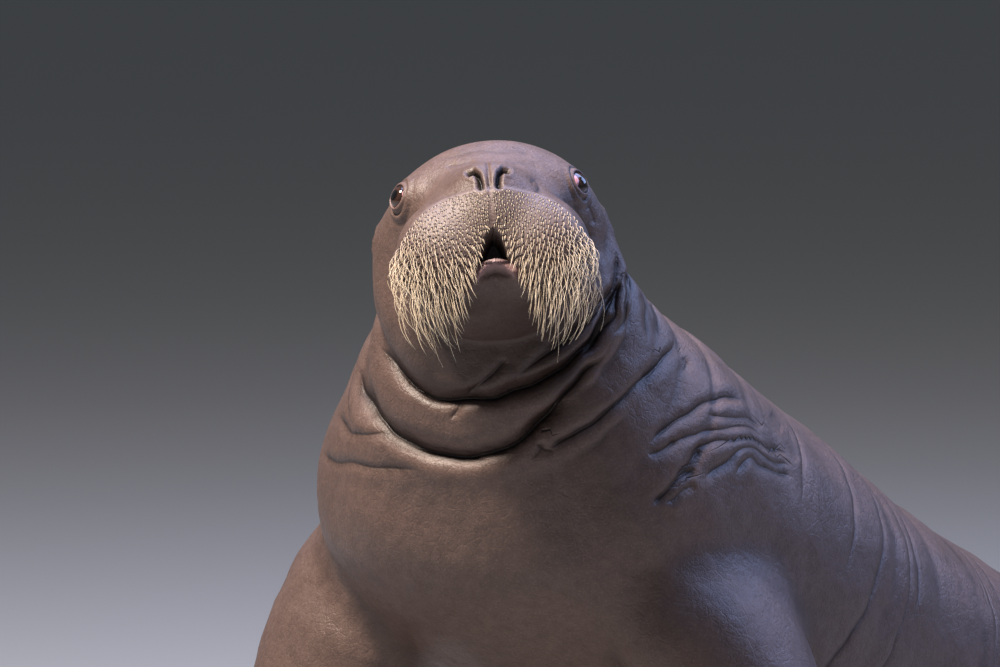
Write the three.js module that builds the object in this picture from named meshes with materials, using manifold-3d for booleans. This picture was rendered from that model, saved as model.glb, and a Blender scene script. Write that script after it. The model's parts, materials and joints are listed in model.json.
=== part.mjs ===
// A young walrus at life size, sitting up on its fore flippers with its head raised.
// Millimetres, +Z up, the floor at z = 0. The face looks along -Y, and the trunk runs back and to the animal's left (+X).
// The head is a blend of rounded lobes, and the trunk and limbs are lofts through named stations.
import * as THREE from "three";
import { LoftGeometry } from "three/addons/geometries/LoftGeometry.js";
import { mergeVertices } from "three/addons/utils/BufferGeometryUtils.js";
import Module from "manifold-3d";

const wasm = await Module();
wasm.setup();

const DEGREE = Math.PI / 180;
const vector = (x, y, z) => new THREE.Vector3(x, y, z);
const plain = (v) => [v.x, v.y, v.z];
const spread = (from, to, count) =>
  Array.from({ length: count }, (_, i) => from + ((to - from) * i) / (count - 1));
const turns = (count) => spread(0, 2 * Math.PI, count + 1).slice(0, count);

// Driving dimensions
const EYE_SPAN = 200; // across both eyes
const EYE_MIDDLE = vector(0, -60, 947); // half way between the eyes
const HEAD_PITCH = 26 * DEGREE; // how far the muzzle is raised
const HEAD_ROLL = 4.5 * DEGREE; // the animal's left eye sits a little higher
const GAP = 0.35; // left between sub-parts that touch
const SECTION_POWER = 2.15; // 2 is an ellipse, more is squarer
const BLEND = 9; // how softly neighbouring lobes run together
const AROUND = 34; // points round each section of the skin

// The head's own directions: forward along the muzzle, left to the animal's left eye, up through the crown
const FORWARD = vector(0, -Math.cos(HEAD_PITCH), Math.sin(HEAD_PITCH));
const LEFT = vector(Math.cos(HEAD_ROLL), 0, Math.sin(HEAD_ROLL));
LEFT.addScaledVector(FORWARD, -LEFT.dot(FORWARD)).normalize();
const UP = new THREE.Vector3().crossVectors(FORWARD, LEFT);
const HEAD_UNIT = EYE_SPAN / 200; // the head's sizes below are for an eye span of 200

const headVector = (left, forward, up) =>
  vector(0, 0, 0).addScaledVector(LEFT, left).addScaledVector(FORWARD, forward).addScaledVector(UP, up);
const headPlace = (left, forward, up) =>
  headVector(left, forward, up).multiplyScalar(HEAD_UNIT).add(EYE_MIDDLE);

// Rounded masses of the head, each {at, size} in left, forward and up
const PAD = { at: [50, 57, -95], size: [60, 50, 62] };
const CHIN = { at: [0, 26, -120], size: [36, 46, 32] };
const NOSE = { at: [0, 66, -28], size: [36, 36, 32] };
const LOBES = [
  { at: [6, -46, -8], size: [112, 94, 84] }, // cranium
  { at: [4, -92, -52], size: [127, 72, 88] }, // jowls
  { at: [60, -84, -12], size: [80, 66, 62] }, // left ear region
  { at: [-56, -84, -22], size: [72, 66, 56] }, // right ear region
  { at: [0, 22, -40], size: [68, 70, 54] }, // bridge of the muzzle
  { at: [0, -16, -108], size: [88, 72, 58] }, // back of the jaw
  { at: [0, 78, -62], size: [34, 30, 34] }, // between the pads
  NOSE,
  CHIN,
  ...[1, -1].flatMap((side) => [
    { at: [side * PAD.at[0], PAD.at[1], PAD.at[2]], size: PAD.size },
    { at: [side * 78, -14, -2], size: [24, 34, 26] }, // mound round the eye
  ]),
].map((lobe) => ({ at: headPlace(...lobe.at), size: lobe.size.map((s) => s * HEAD_UNIT) }));

function lobeDistance(point, lobe) {
  const away = point.clone().sub(lobe.at);
  const parts = [away.dot(LEFT), away.dot(FORWARD), away.dot(UP)];
  const reach = Math.hypot(...parts.map((p, i) => p / lobe.size[i]));
  return (reach - 1) * Math.min(...lobe.size);
}
const lobeSum = (point) =>
  LOBES.reduce((total, lobe) => total + Math.exp(-lobeDistance(point, lobe) / BLEND), 0);

// Stations down the trunk: centre, half width, height above and below the centre,
// and how far the axis leans down from level and heads round to the animal's left
const TRUNK = {
  skull: { at: [0, -72, 874], half: 80, back: 64, belly: 64, lean: 14, heading: 0 },
  skullBase: { at: [14, -14, 850], half: 140, back: 96, belly: 112, lean: 40, heading: 3 },
  upperNeck: { at: [24, 32, 795], half: 160, back: 130, belly: 146, lean: 52, heading: 10 },
  lowerNeck: { at: [27, 82, 722], half: 200, back: 172, belly: 190, lean: 51, heading: 21 },
  shoulder: { at: [40, 148, 640], half: 258, back: 220, belly: 240, lean: 47, heading: 31 },
  chest: { at: [104, 248, 542], half: 278, back: 246, belly: 256, lean: 43, heading: 37 },
  ribs: { at: [206, 372, 444], half: 278, back: 254, belly: 266, lean: 39, heading: 39 },
  belly: { at: [322, 508, 350], half: 270, back: 240, belly: 266, lean: 31, heading: 40 },
  loin: { at: [450, 656, 278], half: 256, back: 216, belly: 278, lean: 21, heading: 40 },
  hips: { at: [580, 810, 224], half: 222, back: 184, belly: 240, lean: 18, heading: 39 },
  rump: { at: [692, 948, 168], half: 172, back: 142, belly: 184, lean: 21, heading: 37 },
  tailRoot: { at: [778, 1058, 112], half: 110, back: 86, belly: 118, lean: 26, heading: 35 },
  tailTip: { at: [822, 1120, 74], half: 48, back: 34, belly: 46, lean: 28, heading: 34 },
};
const STATIONS = Object.values(TRUNK);
const stationOf = Object.fromEntries(Object.keys(TRUNK).map((name, i) => [name, i]));

const through = (triples) =>
  new THREE.CatmullRomCurve3(triples.map((t) => vector(...t)), false, "catmullrom", 0.5);
const trunkPlace = through(STATIONS.map((s) => s.at));
const trunkSize = through(STATIONS.map((s) => [s.half, s.back, s.belly]));
const trunkTurn = through(STATIONS.map((s) => [s.lean * DEGREE, s.heading * DEGREE, 0]));

// The trunk's frame at a station number, which may be fractional
function trunkFrame(station) {
  const t = station / (STATIONS.length - 1);
  const { x: lean, y: heading } = trunkTurn.getPoint(t);
  const level = Math.cos(lean);
  const along = vector(Math.sin(heading) * level, Math.cos(heading) * level, -Math.sin(lean));
  const rolled = HEAD_ROLL * Math.max(0, 1 - station / stationOf.lowerNeck);
  const side = vector(Math.cos(heading), -Math.sin(heading), 0).applyAxisAngle(along, -rolled);
  const back = new THREE.Vector3().crossVectors(side, along);
  return { centre: trunkPlace.getPoint(t), size: trunkSize.getPoint(t), along, side, back };
}

// Rolls of loose skin: each crease's station, depth and width in stations, and how far its ring leans
const LOWEST = -122 * DEGREE; // the rings lean towards the throat's right
const CREASES = [
  { station: 1.25, depth: 8, width: 0.16, lean: 0.65 },
  { station: 2, depth: 9, width: 0.18, lean: 0.62 },
  { station: 3.35, depth: 4, width: 0.14, lean: 0.3 },
  { station: 5.3, depth: 4, width: 0.12, lean: 0 },
  { station: 6, depth: 4, width: 0.12, lean: 0 },
];
const creaseDepth = (station, angle) =>
  CREASES.reduce((sum, c) => {
    const away = (station - c.station - c.lean * Math.cos(angle - LOWEST)) / c.width;
    return sum + c.depth * Math.exp(-(away ** 2));
  }, 0);

// Radius of a trunk section at an angle round it: 0 at the animal's left, a quarter turn at its back
function sectionRadius(size, angle) {
  const across = Math.abs(Math.cos(angle) / size.x);
  const upright = Math.abs(Math.sin(angle) / (Math.sin(angle) > 0 ? size.y : size.z));
  return (across ** SECTION_POWER + upright ** SECTION_POWER) ** (-1 / SECTION_POWER);
}

// How far a ray reaches before it leaves the lobes and the trunk's own section, run together
function skinReach(origin, direction, radius) {
  const halvings = 20;
  let inside = 0;
  let outside = 400;
  for (let step = 0; step < halvings; step++) {
    const reach = (inside + outside) / 2;
    const point = origin.clone().addScaledVector(direction, reach);
    if (lobeSum(point) + Math.exp(-(reach - radius) / BLEND) > 1) inside = reach;
    else outside = reach;
  }
  return inside;
}

// A ray from the middle of the skull, by tilt from the muzzle's line and angle round it
const SKULL = trunkFrame(stationOf.skull);
function faceRay(tilt, angle) {
  const direction = SKULL.along.clone().multiplyScalar(-Math.cos(tilt));
  direction.addScaledVector(SKULL.side, Math.sin(tilt) * Math.cos(angle));
  return direction.addScaledVector(SKULL.back, Math.sin(tilt) * Math.sin(angle));
}
const facePoint = (direction) =>
  SKULL.centre.clone().addScaledVector(direction, skinReach(SKULL.centre, direction, TRUNK.skull.back));

// The place on the face that lies in line with a place given in head sizes
const onFace = (left, forward, up) =>
  facePoint(headPlace(left, forward, up).sub(SKULL.centre).normalize());

// Which way the skin of the head faces at a point
function faceNormal(point) {
  const step = 2;
  const slope = (direction) =>
    lobeSum(point.clone().addScaledVector(direction, -step)) -
    lobeSum(point.clone().addScaledVector(direction, step));
  return vector(slope(vector(1, 0, 0)), slope(vector(0, 1, 0)), slope(vector(0, 0, 1))).normalize();
}

const FACE_TILTS = spread(0, 84 * DEGREE, 13);
const RING_STATIONS = [
  ...spread(0, stationOf.lowerNeck, 15),
  ...spread(stationOf.lowerNeck, stationOf.ribs, 10).slice(1),
  ...spread(stationOf.ribs, stationOf.tailTip, 15).slice(1),
];

// The whole skin as one closed loft from the mouth to the tail, swollen by a margin
function skinLoft(margin) {
  const angles = turns(AROUND).reverse();
  const face = FACE_TILTS.map((tilt) =>
    angles.map((angle) => {
      const direction = faceRay(tilt, angle);
      return facePoint(direction).addScaledVector(direction, margin);
    }),
  );
  const rings = RING_STATIONS.map((station) => {
    const frame = trunkFrame(station);
    return angles.map((angle) => {
      const direction = frame.side.clone().multiplyScalar(Math.cos(angle));
      direction.addScaledVector(frame.back, Math.sin(angle));
      const radius = sectionRadius(frame.size, angle);
      const reach = station < stationOf.lowerNeck ? skinReach(frame.centre, direction, radius) : radius;
      return frame.centre.clone().addScaledVector(direction, reach - creaseDepth(station, angle) + margin);
    });
  });
  return toSolid(new LoftGeometry([...face, ...rings], { capEnd: true }));
}

// Turns a geometry into a manifold-3d solid, with shared corners merged and empty faces dropped
function toSolid(geometry) {
  const bare = new THREE.BufferGeometry().setAttribute("position", geometry.getAttribute("position"));
  if (geometry.index) bare.setIndex(geometry.index);
  const merged = mergeVertices(bare, 1e-3);
  const corners = merged.index.array;
  const faces = [];
  for (let i = 0; i < corners.length; i += 3) {
    const [a, b, c] = corners.subarray(i, i + 3);
    if (a !== b && b !== c && c !== a) faces.push(a, b, c);
  }
  const vertProperties = merged.attributes.position.array;
  const build = (list) =>
    new wasm.Manifold(new wasm.Mesh({ numProp: 3, vertProperties, triVerts: new Uint32Array(list) }));
  const made = build(faces);
  return made.volume() > 0 ? made : build(faces.reverse());
}

const largest = (solid) => solid.decompose().sort((a, b) => b.volume() - a.volume())[0];
const unite = (solids) => wasm.Manifold.union(solids);
const aboveFloor = (solid) => solid.trimByPlane([0, 0, 1], 0);

// Parts a solid by a plane, a gap apart: the piece that the normal points to, then the other
function partAt(solid, point, normal) {
  const offset = normal.dot(point);
  return [
    solid.trimByPlane(plain(normal), offset + GAP / 2),
    solid.trimByPlane(plain(normal.clone().negate()), -(offset - GAP / 2)),
  ];
}

// Parts a solid by a closed region, a gap apart: the piece inside the region, then the rest
function partInside(solid, region) {
  return [solid.intersect(region(-GAP / 2)), solid.subtract(region(GAP / 2))];
}

// An ellipsoid with its axes along three given directions
function ellipsoid(centre, size, axes, segments = 18) {
  const ball = new THREE.SphereGeometry(1, segments, segments / 2).scale(...size);
  ball.applyMatrix4(new THREE.Matrix4().makeBasis(...axes));
  return toSolid(ball.translate(...plain(centre)));
}
const headEllipsoid = (at, size, margin = 0) =>
  ellipsoid(headPlace(...at), size.map((s) => s * HEAD_UNIT + margin), [LEFT, FORWARD, UP]);

// Axes for a small part that sits on the face: two across the skin, then the way it looks
function outwardAxes(look, upright = UP) {
  const across = new THREE.Vector3().crossVectors(upright, look).normalize();
  return [across, new THREE.Vector3().crossVectors(look, across), look];
}

// Sizes of the parts of the face, for the animal's left side where there are two
const EYE = { at: [97, 2, -2], radius: 17, bulge: 5.5, look: [0.78, 0.6, 0.16], lid: 15.5, rim: 4.5 };
const EAR = { at: [126, -78, -14], size: [13, 19, 9], pit: [4, 7, 9], rise: 3 };
const NOSTRIL = { at: [14, 88, -12], size: [6.5, 12, 9], lean: 24 * DEGREE };
const MOUTH = { top: -84, bottom: -126, half: 19, from: 48, depth: 90 };
const PAD_REGION = { at: [48, 62, -93], size: [69, 60, 68] };
const JAW_REGION = { at: [0, 40, -146], size: [42, 62, 44] };
const NOSE_REGION = { at: [0, 84, -16], size: [37, 40, 30] };

function eyePlace(side) {
  const look = headVector(side * EYE.look[0], EYE.look[1], EYE.look[2]).normalize();
  const centre = onFace(side * EYE.at[0], EYE.at[1], EYE.at[2]);
  return { look, centre: centre.addScaledVector(look, EYE.bulge - EYE.radius) };
}

// A raised lid all round the eye
function lids(side) {
  const { look, centre } = eyePlace(side);
  const ring = new THREE.TorusGeometry(EYE.lid, EYE.rim, 7, 18);
  ring.applyMatrix4(new THREE.Matrix4().makeBasis(...outwardAxes(look)));
  return toSolid(ring.translate(...plain(centre.addScaledVector(look, EYE.radius - 2 * EYE.rim))));
}

function eyeball(side, margin = 0) {
  const { look, centre } = eyePlace(side);
  const radius = EYE.radius + margin;
  return ellipsoid(centre, [radius, radius, radius], outwardAxes(look), 16);
}

function nostril(side) {
  const look = headVector(side * 0.1, 0.8, 0.3).normalize();
  const upright = UP.clone().applyAxisAngle(FORWARD, -side * NOSTRIL.lean);
  const place = onFace(side * NOSTRIL.at[0], NOSTRIL.at[1], NOSTRIL.at[2]);
  return ellipsoid(place, NOSTRIL.size, outwardAxes(look, upright), 10);
}

// The mouth, open a little: an arch that narrows to the groove between the pads
function mouthOpening() {
  const arch = new THREE.Shape()
    .moveTo(0, MOUTH.top)
    .quadraticCurveTo(MOUTH.half * 0.7, MOUTH.top * 0.75 + MOUTH.bottom * 0.25, MOUTH.half, MOUTH.bottom)
    .quadraticCurveTo(0, MOUTH.bottom * 0.86 + MOUTH.top * 0.14, -MOUTH.half, MOUTH.bottom)
    .quadraticCurveTo(-MOUTH.half * 0.7, MOUTH.top * 0.75 + MOUTH.bottom * 0.25, 0, MOUTH.top);
  const cut = new THREE.ExtrudeGeometry(arch, { depth: MOUTH.depth, bevelEnabled: false, curveSegments: 4 });
  cut.applyMatrix4(new THREE.Matrix4().makeBasis(LEFT.clone().negate(), UP, FORWARD));
  return toSolid(cut.translate(...plain(headPlace(0, MOUTH.from, 0))));
}

// Whiskers: stiff bristles on each pad, short above and long below, that bend down and inwards
const WHISKER = { count: 62, root: 1.25, tip: 0.4, sunk: 5, short: 15, long: 72, clear: 2.5, bends: 3, seed: 5 };

// A bristle's line from inside the pad: out along the skin's normal at first, kept clear of the skin
function whiskerLine(side, root, normal, random) {
  const [left, , up] = [LEFT, FORWARD, UP].map((axis) => root.clone().sub(EYE_MIDDLE).dot(axis));
  const low = THREE.MathUtils.smoothstep(-up, 50, 140);
  const out = THREE.MathUtils.smoothstep(side * left, 30, 105);
  const grown = Math.min(1, 0.15 * out + 0.7 * low + 0.3 * out * low);
  const length = THREE.MathUtils.lerp(WHISKER.short, WHISKER.long, grown) * (0.85 + 0.3 * random());
  const start = headVector(side * (0.05 + 0.3 * out), 0, -0.35 - 0.35 * low).addScaledVector(normal, 0.75).normalize();
  const end = headVector(-side * (0.25 + 0.35 * out) + 0.2 * (random() - 0.5), 0.12, -1).normalize();
  const line = [root.clone().addScaledVector(start, -WHISKER.sunk), root.clone()];
  for (let bend = 1; bend <= WHISKER.bends; bend++) {
    const way = start.clone().lerp(end, (bend - 0.5) / WHISKER.bends).normalize();
    const point = line.at(-1).clone().addScaledVector(way, length / WHISKER.bends);
    const depth = Math.log(lobeSum(point)) * BLEND + WHISKER.clear;
    if (depth > 0) point.addScaledVector(faceNormal(point), depth);
    line.push(point);
  }
  return [line[0], ...line.slice(2)];
}

// A three-sided bristle that tapers along its line
function whisker(line) {
  const sections = line.map((point, i) => {
    const along = line[Math.min(i + 1, line.length - 1)].clone().sub(line[Math.max(i - 1, 0)]).normalize();
    const [across, upright] = outwardAxes(along, LEFT);
    const radius = THREE.MathUtils.lerp(WHISKER.root, WHISKER.tip, i / (line.length - 1));
    return turns(3).map((angle) => {
      const point3 = point.clone().addScaledVector(across, radius * Math.cos(angle));
      return point3.addScaledVector(upright, radius * Math.sin(angle));
    });
  });
  return toSolid(new LoftGeometry(sections, { capStart: true, capEnd: true }));
}

// Bristles spread evenly over one pad, leaving out those that would touch another sub-part
function whiskers(side, others) {
  const goldenAngle = Math.PI * (3 - Math.sqrt(5));
  const centre = headPlace(side * PAD.at[0], PAD.at[1], PAD.at[2]);
  let drawn = WHISKER.seed;
  const random = () => THREE.MathUtils.seededRandom(drawn++);
  const grown = [];
  for (let i = 0; i < WHISKER.count; i++) {
    const ahead = 1 - (1.2 * (i + 0.5)) / WHISKER.count;
    const round = goldenAngle * i + 0.25 * (random() - 0.5);
    const spreadOut = Math.sqrt(1 - ahead * ahead);
    const direction = headVector(side * spreadOut * Math.cos(round), ahead, spreadOut * Math.sin(round));
    const root = centre.clone().addScaledVector(direction, skinReach(centre, direction, 0));
    const bristle = whisker(whiskerLine(side, root, faceNormal(root), random));
    if (bristle.minGap(others, 1) > GAP) grown.push(bristle);
  }
  return grown;
}

const earAxes = (side) => outwardAxes(headVector(side, -0.25, 0.12).normalize());
const earBall = (side, margin) =>
  ellipsoid(onFace(side * EAR.at[0], EAR.at[1], EAR.at[2]), EAR.size.map((s) => s + margin), earAxes(side), 12);

// A low fold of skin with the ear's pit in it
function ear(side, swollenSkin) {
  const place = onFace(side * EAR.at[0], EAR.at[1], EAR.at[2]);
  return earBall(side, -GAP / 2).intersect(swollenSkin).subtract(ellipsoid(place, EAR.pit, earAxes(side), 8));
}

// A limb as a loft through places with a width and a thickness, flat across one direction
function limbLoft(places, across) {
  const points = 14;
  const line = through(places.map((p) => p.at));
  const size = through(places.map((p) => [p.wide, p.thick, 0]));
  const sections = spread(0, 1, places.length * 2).map((t) => {
    const centre = line.getPoint(t);
    const along = line.getTangent(t);
    const flat = across.clone().addScaledVector(along, -across.dot(along)).normalize();
    const raised = new THREE.Vector3().crossVectors(along, flat);
    const { x: wide, y: thick } = size.getPoint(t);
    return turns(points).map((angle) => {
      const point = centre.clone().addScaledVector(flat, wide * Math.cos(angle));
      return point.addScaledVector(raised, thick * Math.sin(angle));
    });
  });
  return toSolid(new LoftGeometry(sections, { capStart: true, capEnd: true }));
}

// A flipper: a flat hand or foot whose five digits show as ridges and as scallops at its edge
const DIGITS = 5;
const digitPlace = (digit) => (2 * digit + 1) / DIGITS - 1; // across the flipper, from -1 to 1
function flipperPoint(flipper, t, across, rise) {
  const between = 0.5 + 0.5 * Math.cos(Math.PI * DIGITS * (across + 1));
  const reach = flipper.length * t * (1 + flipper.corner * across - flipper.notch * between * t * t);
  const width = THREE.MathUtils.lerp(flipper.rootWide, flipper.tipWide, Math.sin((t * Math.PI) / 2));
  const closing = Math.sqrt(1 - (2 * t - 1) ** 10); // the two faces meet in an edge at both ends
  const thick = THREE.MathUtils.lerp(flipper.rootThick, flipper.tipThick, t) * (1 - 0.3 * between * t) * closing;
  const along = flipper.toward.clone().normalize();
  const upright = vector(0, 0, 1).addScaledVector(along, -along.z).normalize();
  const side = new THREE.Vector3().crossVectors(along, upright).multiplyScalar(flipper.hand);
  return flipper.wrist
    .clone()
    .addScaledVector(along, reach)
    .addScaledVector(side, width * across)
    .addScaledVector(upright, thick * rise);
}

function flipperLoft(flipper) {
  const points = 26;
  const sections = [0, 0.04, 0.2, 0.45, 0.7, 0.9, 0.97, 1].map((t) =>
    turns(points).map((angle) => flipperPoint(flipper, t, Math.cos(angle), Math.sin(angle))),
  );
  return toSolid(new LoftGeometry(sections));
}

// The same flipper a gap larger all round, to cut what it grows from
const swollenFlipper = (flipper) =>
  flipperLoft({
    ...flipper,
    wrist: flipper.wrist.clone().addScaledVector(flipper.toward, -GAP),
    length: flipper.length + 2 * GAP,
    rootWide: flipper.rootWide + GAP,
    tipWide: flipper.tipWide + GAP,
    rootThick: flipper.rootThick + GAP,
    tipThick: flipper.tipThick + GAP,
  });

// A short blunt nail lying on a digit, cut to the flipper's skin
const NAIL = { at: 0.84, size: 14 };
function nail(flipper, digit) {
  const root = flipperPoint(flipper, NAIL.at, digitPlace(digit), 1);
  const beyond = flipperPoint(flipper, NAIL.at + 0.04, digitPlace(digit), 1);
  const cone = new THREE.CylinderGeometry(NAIL.size * 0.14, NAIL.size * 0.36, NAIL.size * 1.6, 8, 1);
  cone.applyQuaternion(new THREE.Quaternion().setFromUnitVectors(vector(0, 1, 0), beyond.sub(root).normalize()));
  return toSolid(cone.translate(...plain(root))).subtract(swollenFlipper(flipper));
}

// The animal's limbs by side: the trunk runs back to its left, so the two sides are placed apart
const LIMBS = {
  left: {
    hand: 1,
    arm: [
      { at: [176, 104, 520], wide: 138, thick: 90 },
      { at: [262, 60, 420], wide: 132, thick: 86 },
      { at: [320, 36, 310], wide: 108, thick: 74 },
      { at: [340, 10, 200], wide: 84, thick: 58 },
      { at: [350, -22, 106], wide: 72, thick: 46 },
      { at: [364, -48, 40], wide: 74, thick: 38 },
    ],
    armAcross: vector(0.55, 0.8, 0),
    fore: { wrist: vector(354, -38, 34), toward: vector(0.86, -0.5, -0.09) },
    leg: [
      { at: [740, 912, 130], wide: 96, thick: 88 },
      { at: [822, 872, 92], wide: 84, thick: 66 },
      { at: [870, 826, 58], wide: 66, thick: 44 },
      { at: [890, 784, 36], wide: 58, thick: 32 },
    ],
    hind: { wrist: vector(884, 800, 28), toward: vector(0.3, -0.95, -0.085) },
  },
  right: {
    hand: -1,
    arm: [
      { at: [-76, 256, 530], wide: 138, thick: 90 },
      { at: [-154, 256, 425], wide: 132, thick: 86 },
      { at: [-204, 244, 312], wide: 108, thick: 74 },
      { at: [-220, 214, 200], wide: 84, thick: 58 },
      { at: [-226, 178, 106], wide: 72, thick: 46 },
      { at: [-240, 150, 40], wide: 74, thick: 38 },
    ],
    armAcross: vector(-0.55, 0.8, 0),
    fore: { wrist: vector(-230, 160, 34), toward: vector(-0.86, -0.5, -0.09) },
    leg: [
      { at: [622, 1002, 130], wide: 96, thick: 88 },
      { at: [556, 1046, 92], wide: 84, thick: 66 },
      { at: [498, 1062, 58], wide: 66, thick: 44 },
      { at: [450, 1056, 36], wide: 58, thick: 32 },
    ],
    hind: { wrist: vector(466, 1059, 28), toward: vector(-0.98, -0.15, -0.085) },
  },
};
const ELBOW = 0.42; // how far down the arm it is parted
const FORE_FLIPPER = { length: 240, rootWide: 74, tipWide: 112, rootThick: 36, tipThick: 13, corner: -0.1, notch: 0.06 };
const HIND_FLIPPER = { length: 235, rootWide: 60, tipWide: 118, rootThick: 30, tipThick: 10, corner: 0, notch: 0.08 };

// The model stands with the middle of its box over the origin
const BOX_MIDDLE = vector(280, 457, 0);
const group = new THREE.Group();
group.position.copy(BOX_MIDDLE).negate();
const hide = () => new THREE.MeshStandardMaterial({ color: 0x6e5d58, roughness: 0.7, metalness: 0 });
const eyeGlass = () => new THREE.MeshStandardMaterial({ color: 0x241a1b, roughness: 0.15, metalness: 0 });
const horn = () => new THREE.MeshStandardMaterial({ color: 0x3b302c, roughness: 0.5, metalness: 0 });

function addNode(name, solid, material = hide) {
  const made = largest(solid).getMesh();
  const geometry = new THREE.BufferGeometry()
    .setAttribute("position", new THREE.BufferAttribute(made.vertProperties, 3))
    .setIndex(new THREE.BufferAttribute(made.triVerts, 1));
  geometry.computeVertexNormals();
  const mesh = new THREE.Mesh(geometry, material());
  mesh.name = name;
  group.add(mesh);
}

// The trunk is parted across its stations, head first
const TRUNK_CUTS = [
  ["head", stationOf.skullBase + 0.3],
  ["neck", stationOf.lowerNeck - 0.1],
  ["chest", stationOf.chest + 0.1],
  ["torso", stationOf.belly + 0.6],
  ["hips", stationOf.rump],
];
const trunk = {};
let rest = aboveFloor(skinLoft(0));
for (const [name, station] of TRUNK_CUTS) {
  const frame = trunkFrame(station);
  [rest, trunk[name]] = partAt(rest, frame.centre, frame.along);
}
trunk.tail = rest;

// The head gives up its eyes, ears, nose, lower jaw and whisker pads
const SIDES = { left: 1, right: -1 };
const swollenSkin = skinLoft(EAR.rise);
let head = unite([trunk.head, ...Object.values(SIDES).map(lids)]);
head = head.subtract(mouthOpening());
for (const [name, side] of Object.entries(SIDES)) {
  head = head.subtract(nostril(side)).subtract(eyeball(side, GAP)).subtract(earBall(side, GAP / 2));
  addNode(`eye_${name}`, eyeball(side), eyeGlass);
  addNode(`ear_${name}`, ear(side, swollenSkin));
}
const cutFromHead = (at, size) => {
  const [piece, left] = partInside(head, (margin) => headEllipsoid(at, size, margin));
  head = left;
  return piece;
};
const nose = cutFromHead(NOSE_REGION.at, NOSE_REGION.size);
const jaw = cutFromHead(JAW_REGION.at, JAW_REGION.size);
addNode("nose", nose);
addNode("lower_jaw", jaw);
const padRegion = (margin) =>
  unite([1, -1].map((side) => headEllipsoid([side * PAD_REGION.at[0], ...PAD_REGION.at.slice(1)], PAD_REGION.size, margin)));
const [pads, padless] = partInside(head, padRegion);
head = padless;
const [padLeft, padRight] = partAt(pads, EYE_MIDDLE, LEFT);
const around = [head, nose, jaw, trunk.neck];
const bristledLeft = unite([padLeft, ...whiskers(SIDES.left, unite([...around, padRight]))]);
const bristledRight = unite([padRight, ...whiskers(SIDES.right, unite([...around, bristledLeft]))]);
addNode("whisker_pad_left", bristledLeft);
addNode("whisker_pad_right", bristledRight);
addNode("head", head);

// Limbs end on the trunk's skin, a gap clear of it
const trunkOutside = aboveFloor(skinLoft(GAP));
for (const [name, limb] of Object.entries(LIMBS)) {
  const fore = { ...FORE_FLIPPER, ...limb.fore, hand: limb.hand };
  const hind = { ...HIND_FLIPPER, ...limb.hind, hand: limb.hand };
  const parts = { fore_flipper: aboveFloor(flipperLoft(fore)), hind_flipper: aboveFloor(flipperLoft(hind)) };
  const arm = limbLoft(limb.arm, limb.armAcross);
  const armLine = through(limb.arm.map((p) => p.at));
  const [lower, upper] = partAt(arm, armLine.getPoint(ELBOW), armLine.getTangent(ELBOW));
  parts.upper_arm = upper;
  parts.forearm = lower.subtract(swollenFlipper(fore));
  parts.hind_leg = limbLoft(limb.leg, vector(0, 0, 1)).subtract(swollenFlipper(hind));
  for (const [part, solid] of Object.entries(parts)) {
    addNode(`${part}_${name}`, aboveFloor(solid.subtract(trunkOutside)));
  }
  for (let digit = 0; digit < DIGITS; digit++) {
    addNode(`fore_nail_${name}_${digit + 1}`, nail(fore, digit), horn);
    addNode(`hind_nail_${name}_${digit + 1}`, nail(hind, digit), horn);
  }
}
for (const name of ["neck", "chest", "torso", "hips", "tail"]) addNode(name, trunk[name]);

export default group;
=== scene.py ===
# A young walrus at life size: one wet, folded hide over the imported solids, with eyes, whiskers and nails.
import json
import math

import bmesh
import bpy
import numpy as np
from bpy.props import FloatProperty, FloatVectorProperty, IntProperty, PointerProperty
from mathutils.kdtree import KDTree
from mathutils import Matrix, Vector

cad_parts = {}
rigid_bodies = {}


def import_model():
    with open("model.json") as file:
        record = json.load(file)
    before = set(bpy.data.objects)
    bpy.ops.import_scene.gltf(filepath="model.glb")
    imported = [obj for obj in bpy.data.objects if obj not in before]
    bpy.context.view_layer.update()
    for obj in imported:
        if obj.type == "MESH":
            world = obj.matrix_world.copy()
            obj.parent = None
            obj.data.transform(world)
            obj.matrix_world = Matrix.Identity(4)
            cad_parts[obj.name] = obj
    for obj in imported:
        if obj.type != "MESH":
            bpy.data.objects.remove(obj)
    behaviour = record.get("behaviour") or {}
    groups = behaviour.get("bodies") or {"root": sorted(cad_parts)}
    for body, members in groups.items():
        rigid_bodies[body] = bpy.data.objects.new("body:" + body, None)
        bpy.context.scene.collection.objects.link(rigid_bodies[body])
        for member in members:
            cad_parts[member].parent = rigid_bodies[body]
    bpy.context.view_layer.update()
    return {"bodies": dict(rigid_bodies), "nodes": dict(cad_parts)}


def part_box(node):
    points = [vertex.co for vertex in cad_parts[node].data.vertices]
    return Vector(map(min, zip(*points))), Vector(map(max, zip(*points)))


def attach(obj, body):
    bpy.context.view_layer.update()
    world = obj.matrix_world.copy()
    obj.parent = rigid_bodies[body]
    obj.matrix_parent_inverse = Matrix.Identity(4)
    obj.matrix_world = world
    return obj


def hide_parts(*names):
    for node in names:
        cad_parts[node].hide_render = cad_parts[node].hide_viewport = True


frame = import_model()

bl_info = {
    "name": "Young Walrus",
    "version": (1, 0, 0),
    "blender": (4, 5, 0),
    "location": "3D View > Sidebar > Walrus",
    "description": "Builds a life-size young walrus with a folded hide, whiskers, eyes and nails",
    "category": "Object",
}

BODY = next(iter(frame["bodies"]))
MM = 0.001
DEGREE = math.pi / 180
WRINKLE_SEED, WHISKER_SEED = 17, 31
SEAM_REACH, SEAM_ROUNDS = 0.05, 60  # how far from a join the hide is smoothed, and how many times over


def unit(vectors):
    """Each vector divided by its own length."""
    return vectors / np.linalg.norm(vectors, axis=-1, keepdims=True)


def ease(low, high, value):
    """Smooth step: 0 below low, 1 above high, and 3t^2 - 2t^3 between them."""
    t = np.clip((value - low) / (high - low), 0, 1)
    return t * t * (3 - 2 * t)


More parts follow.
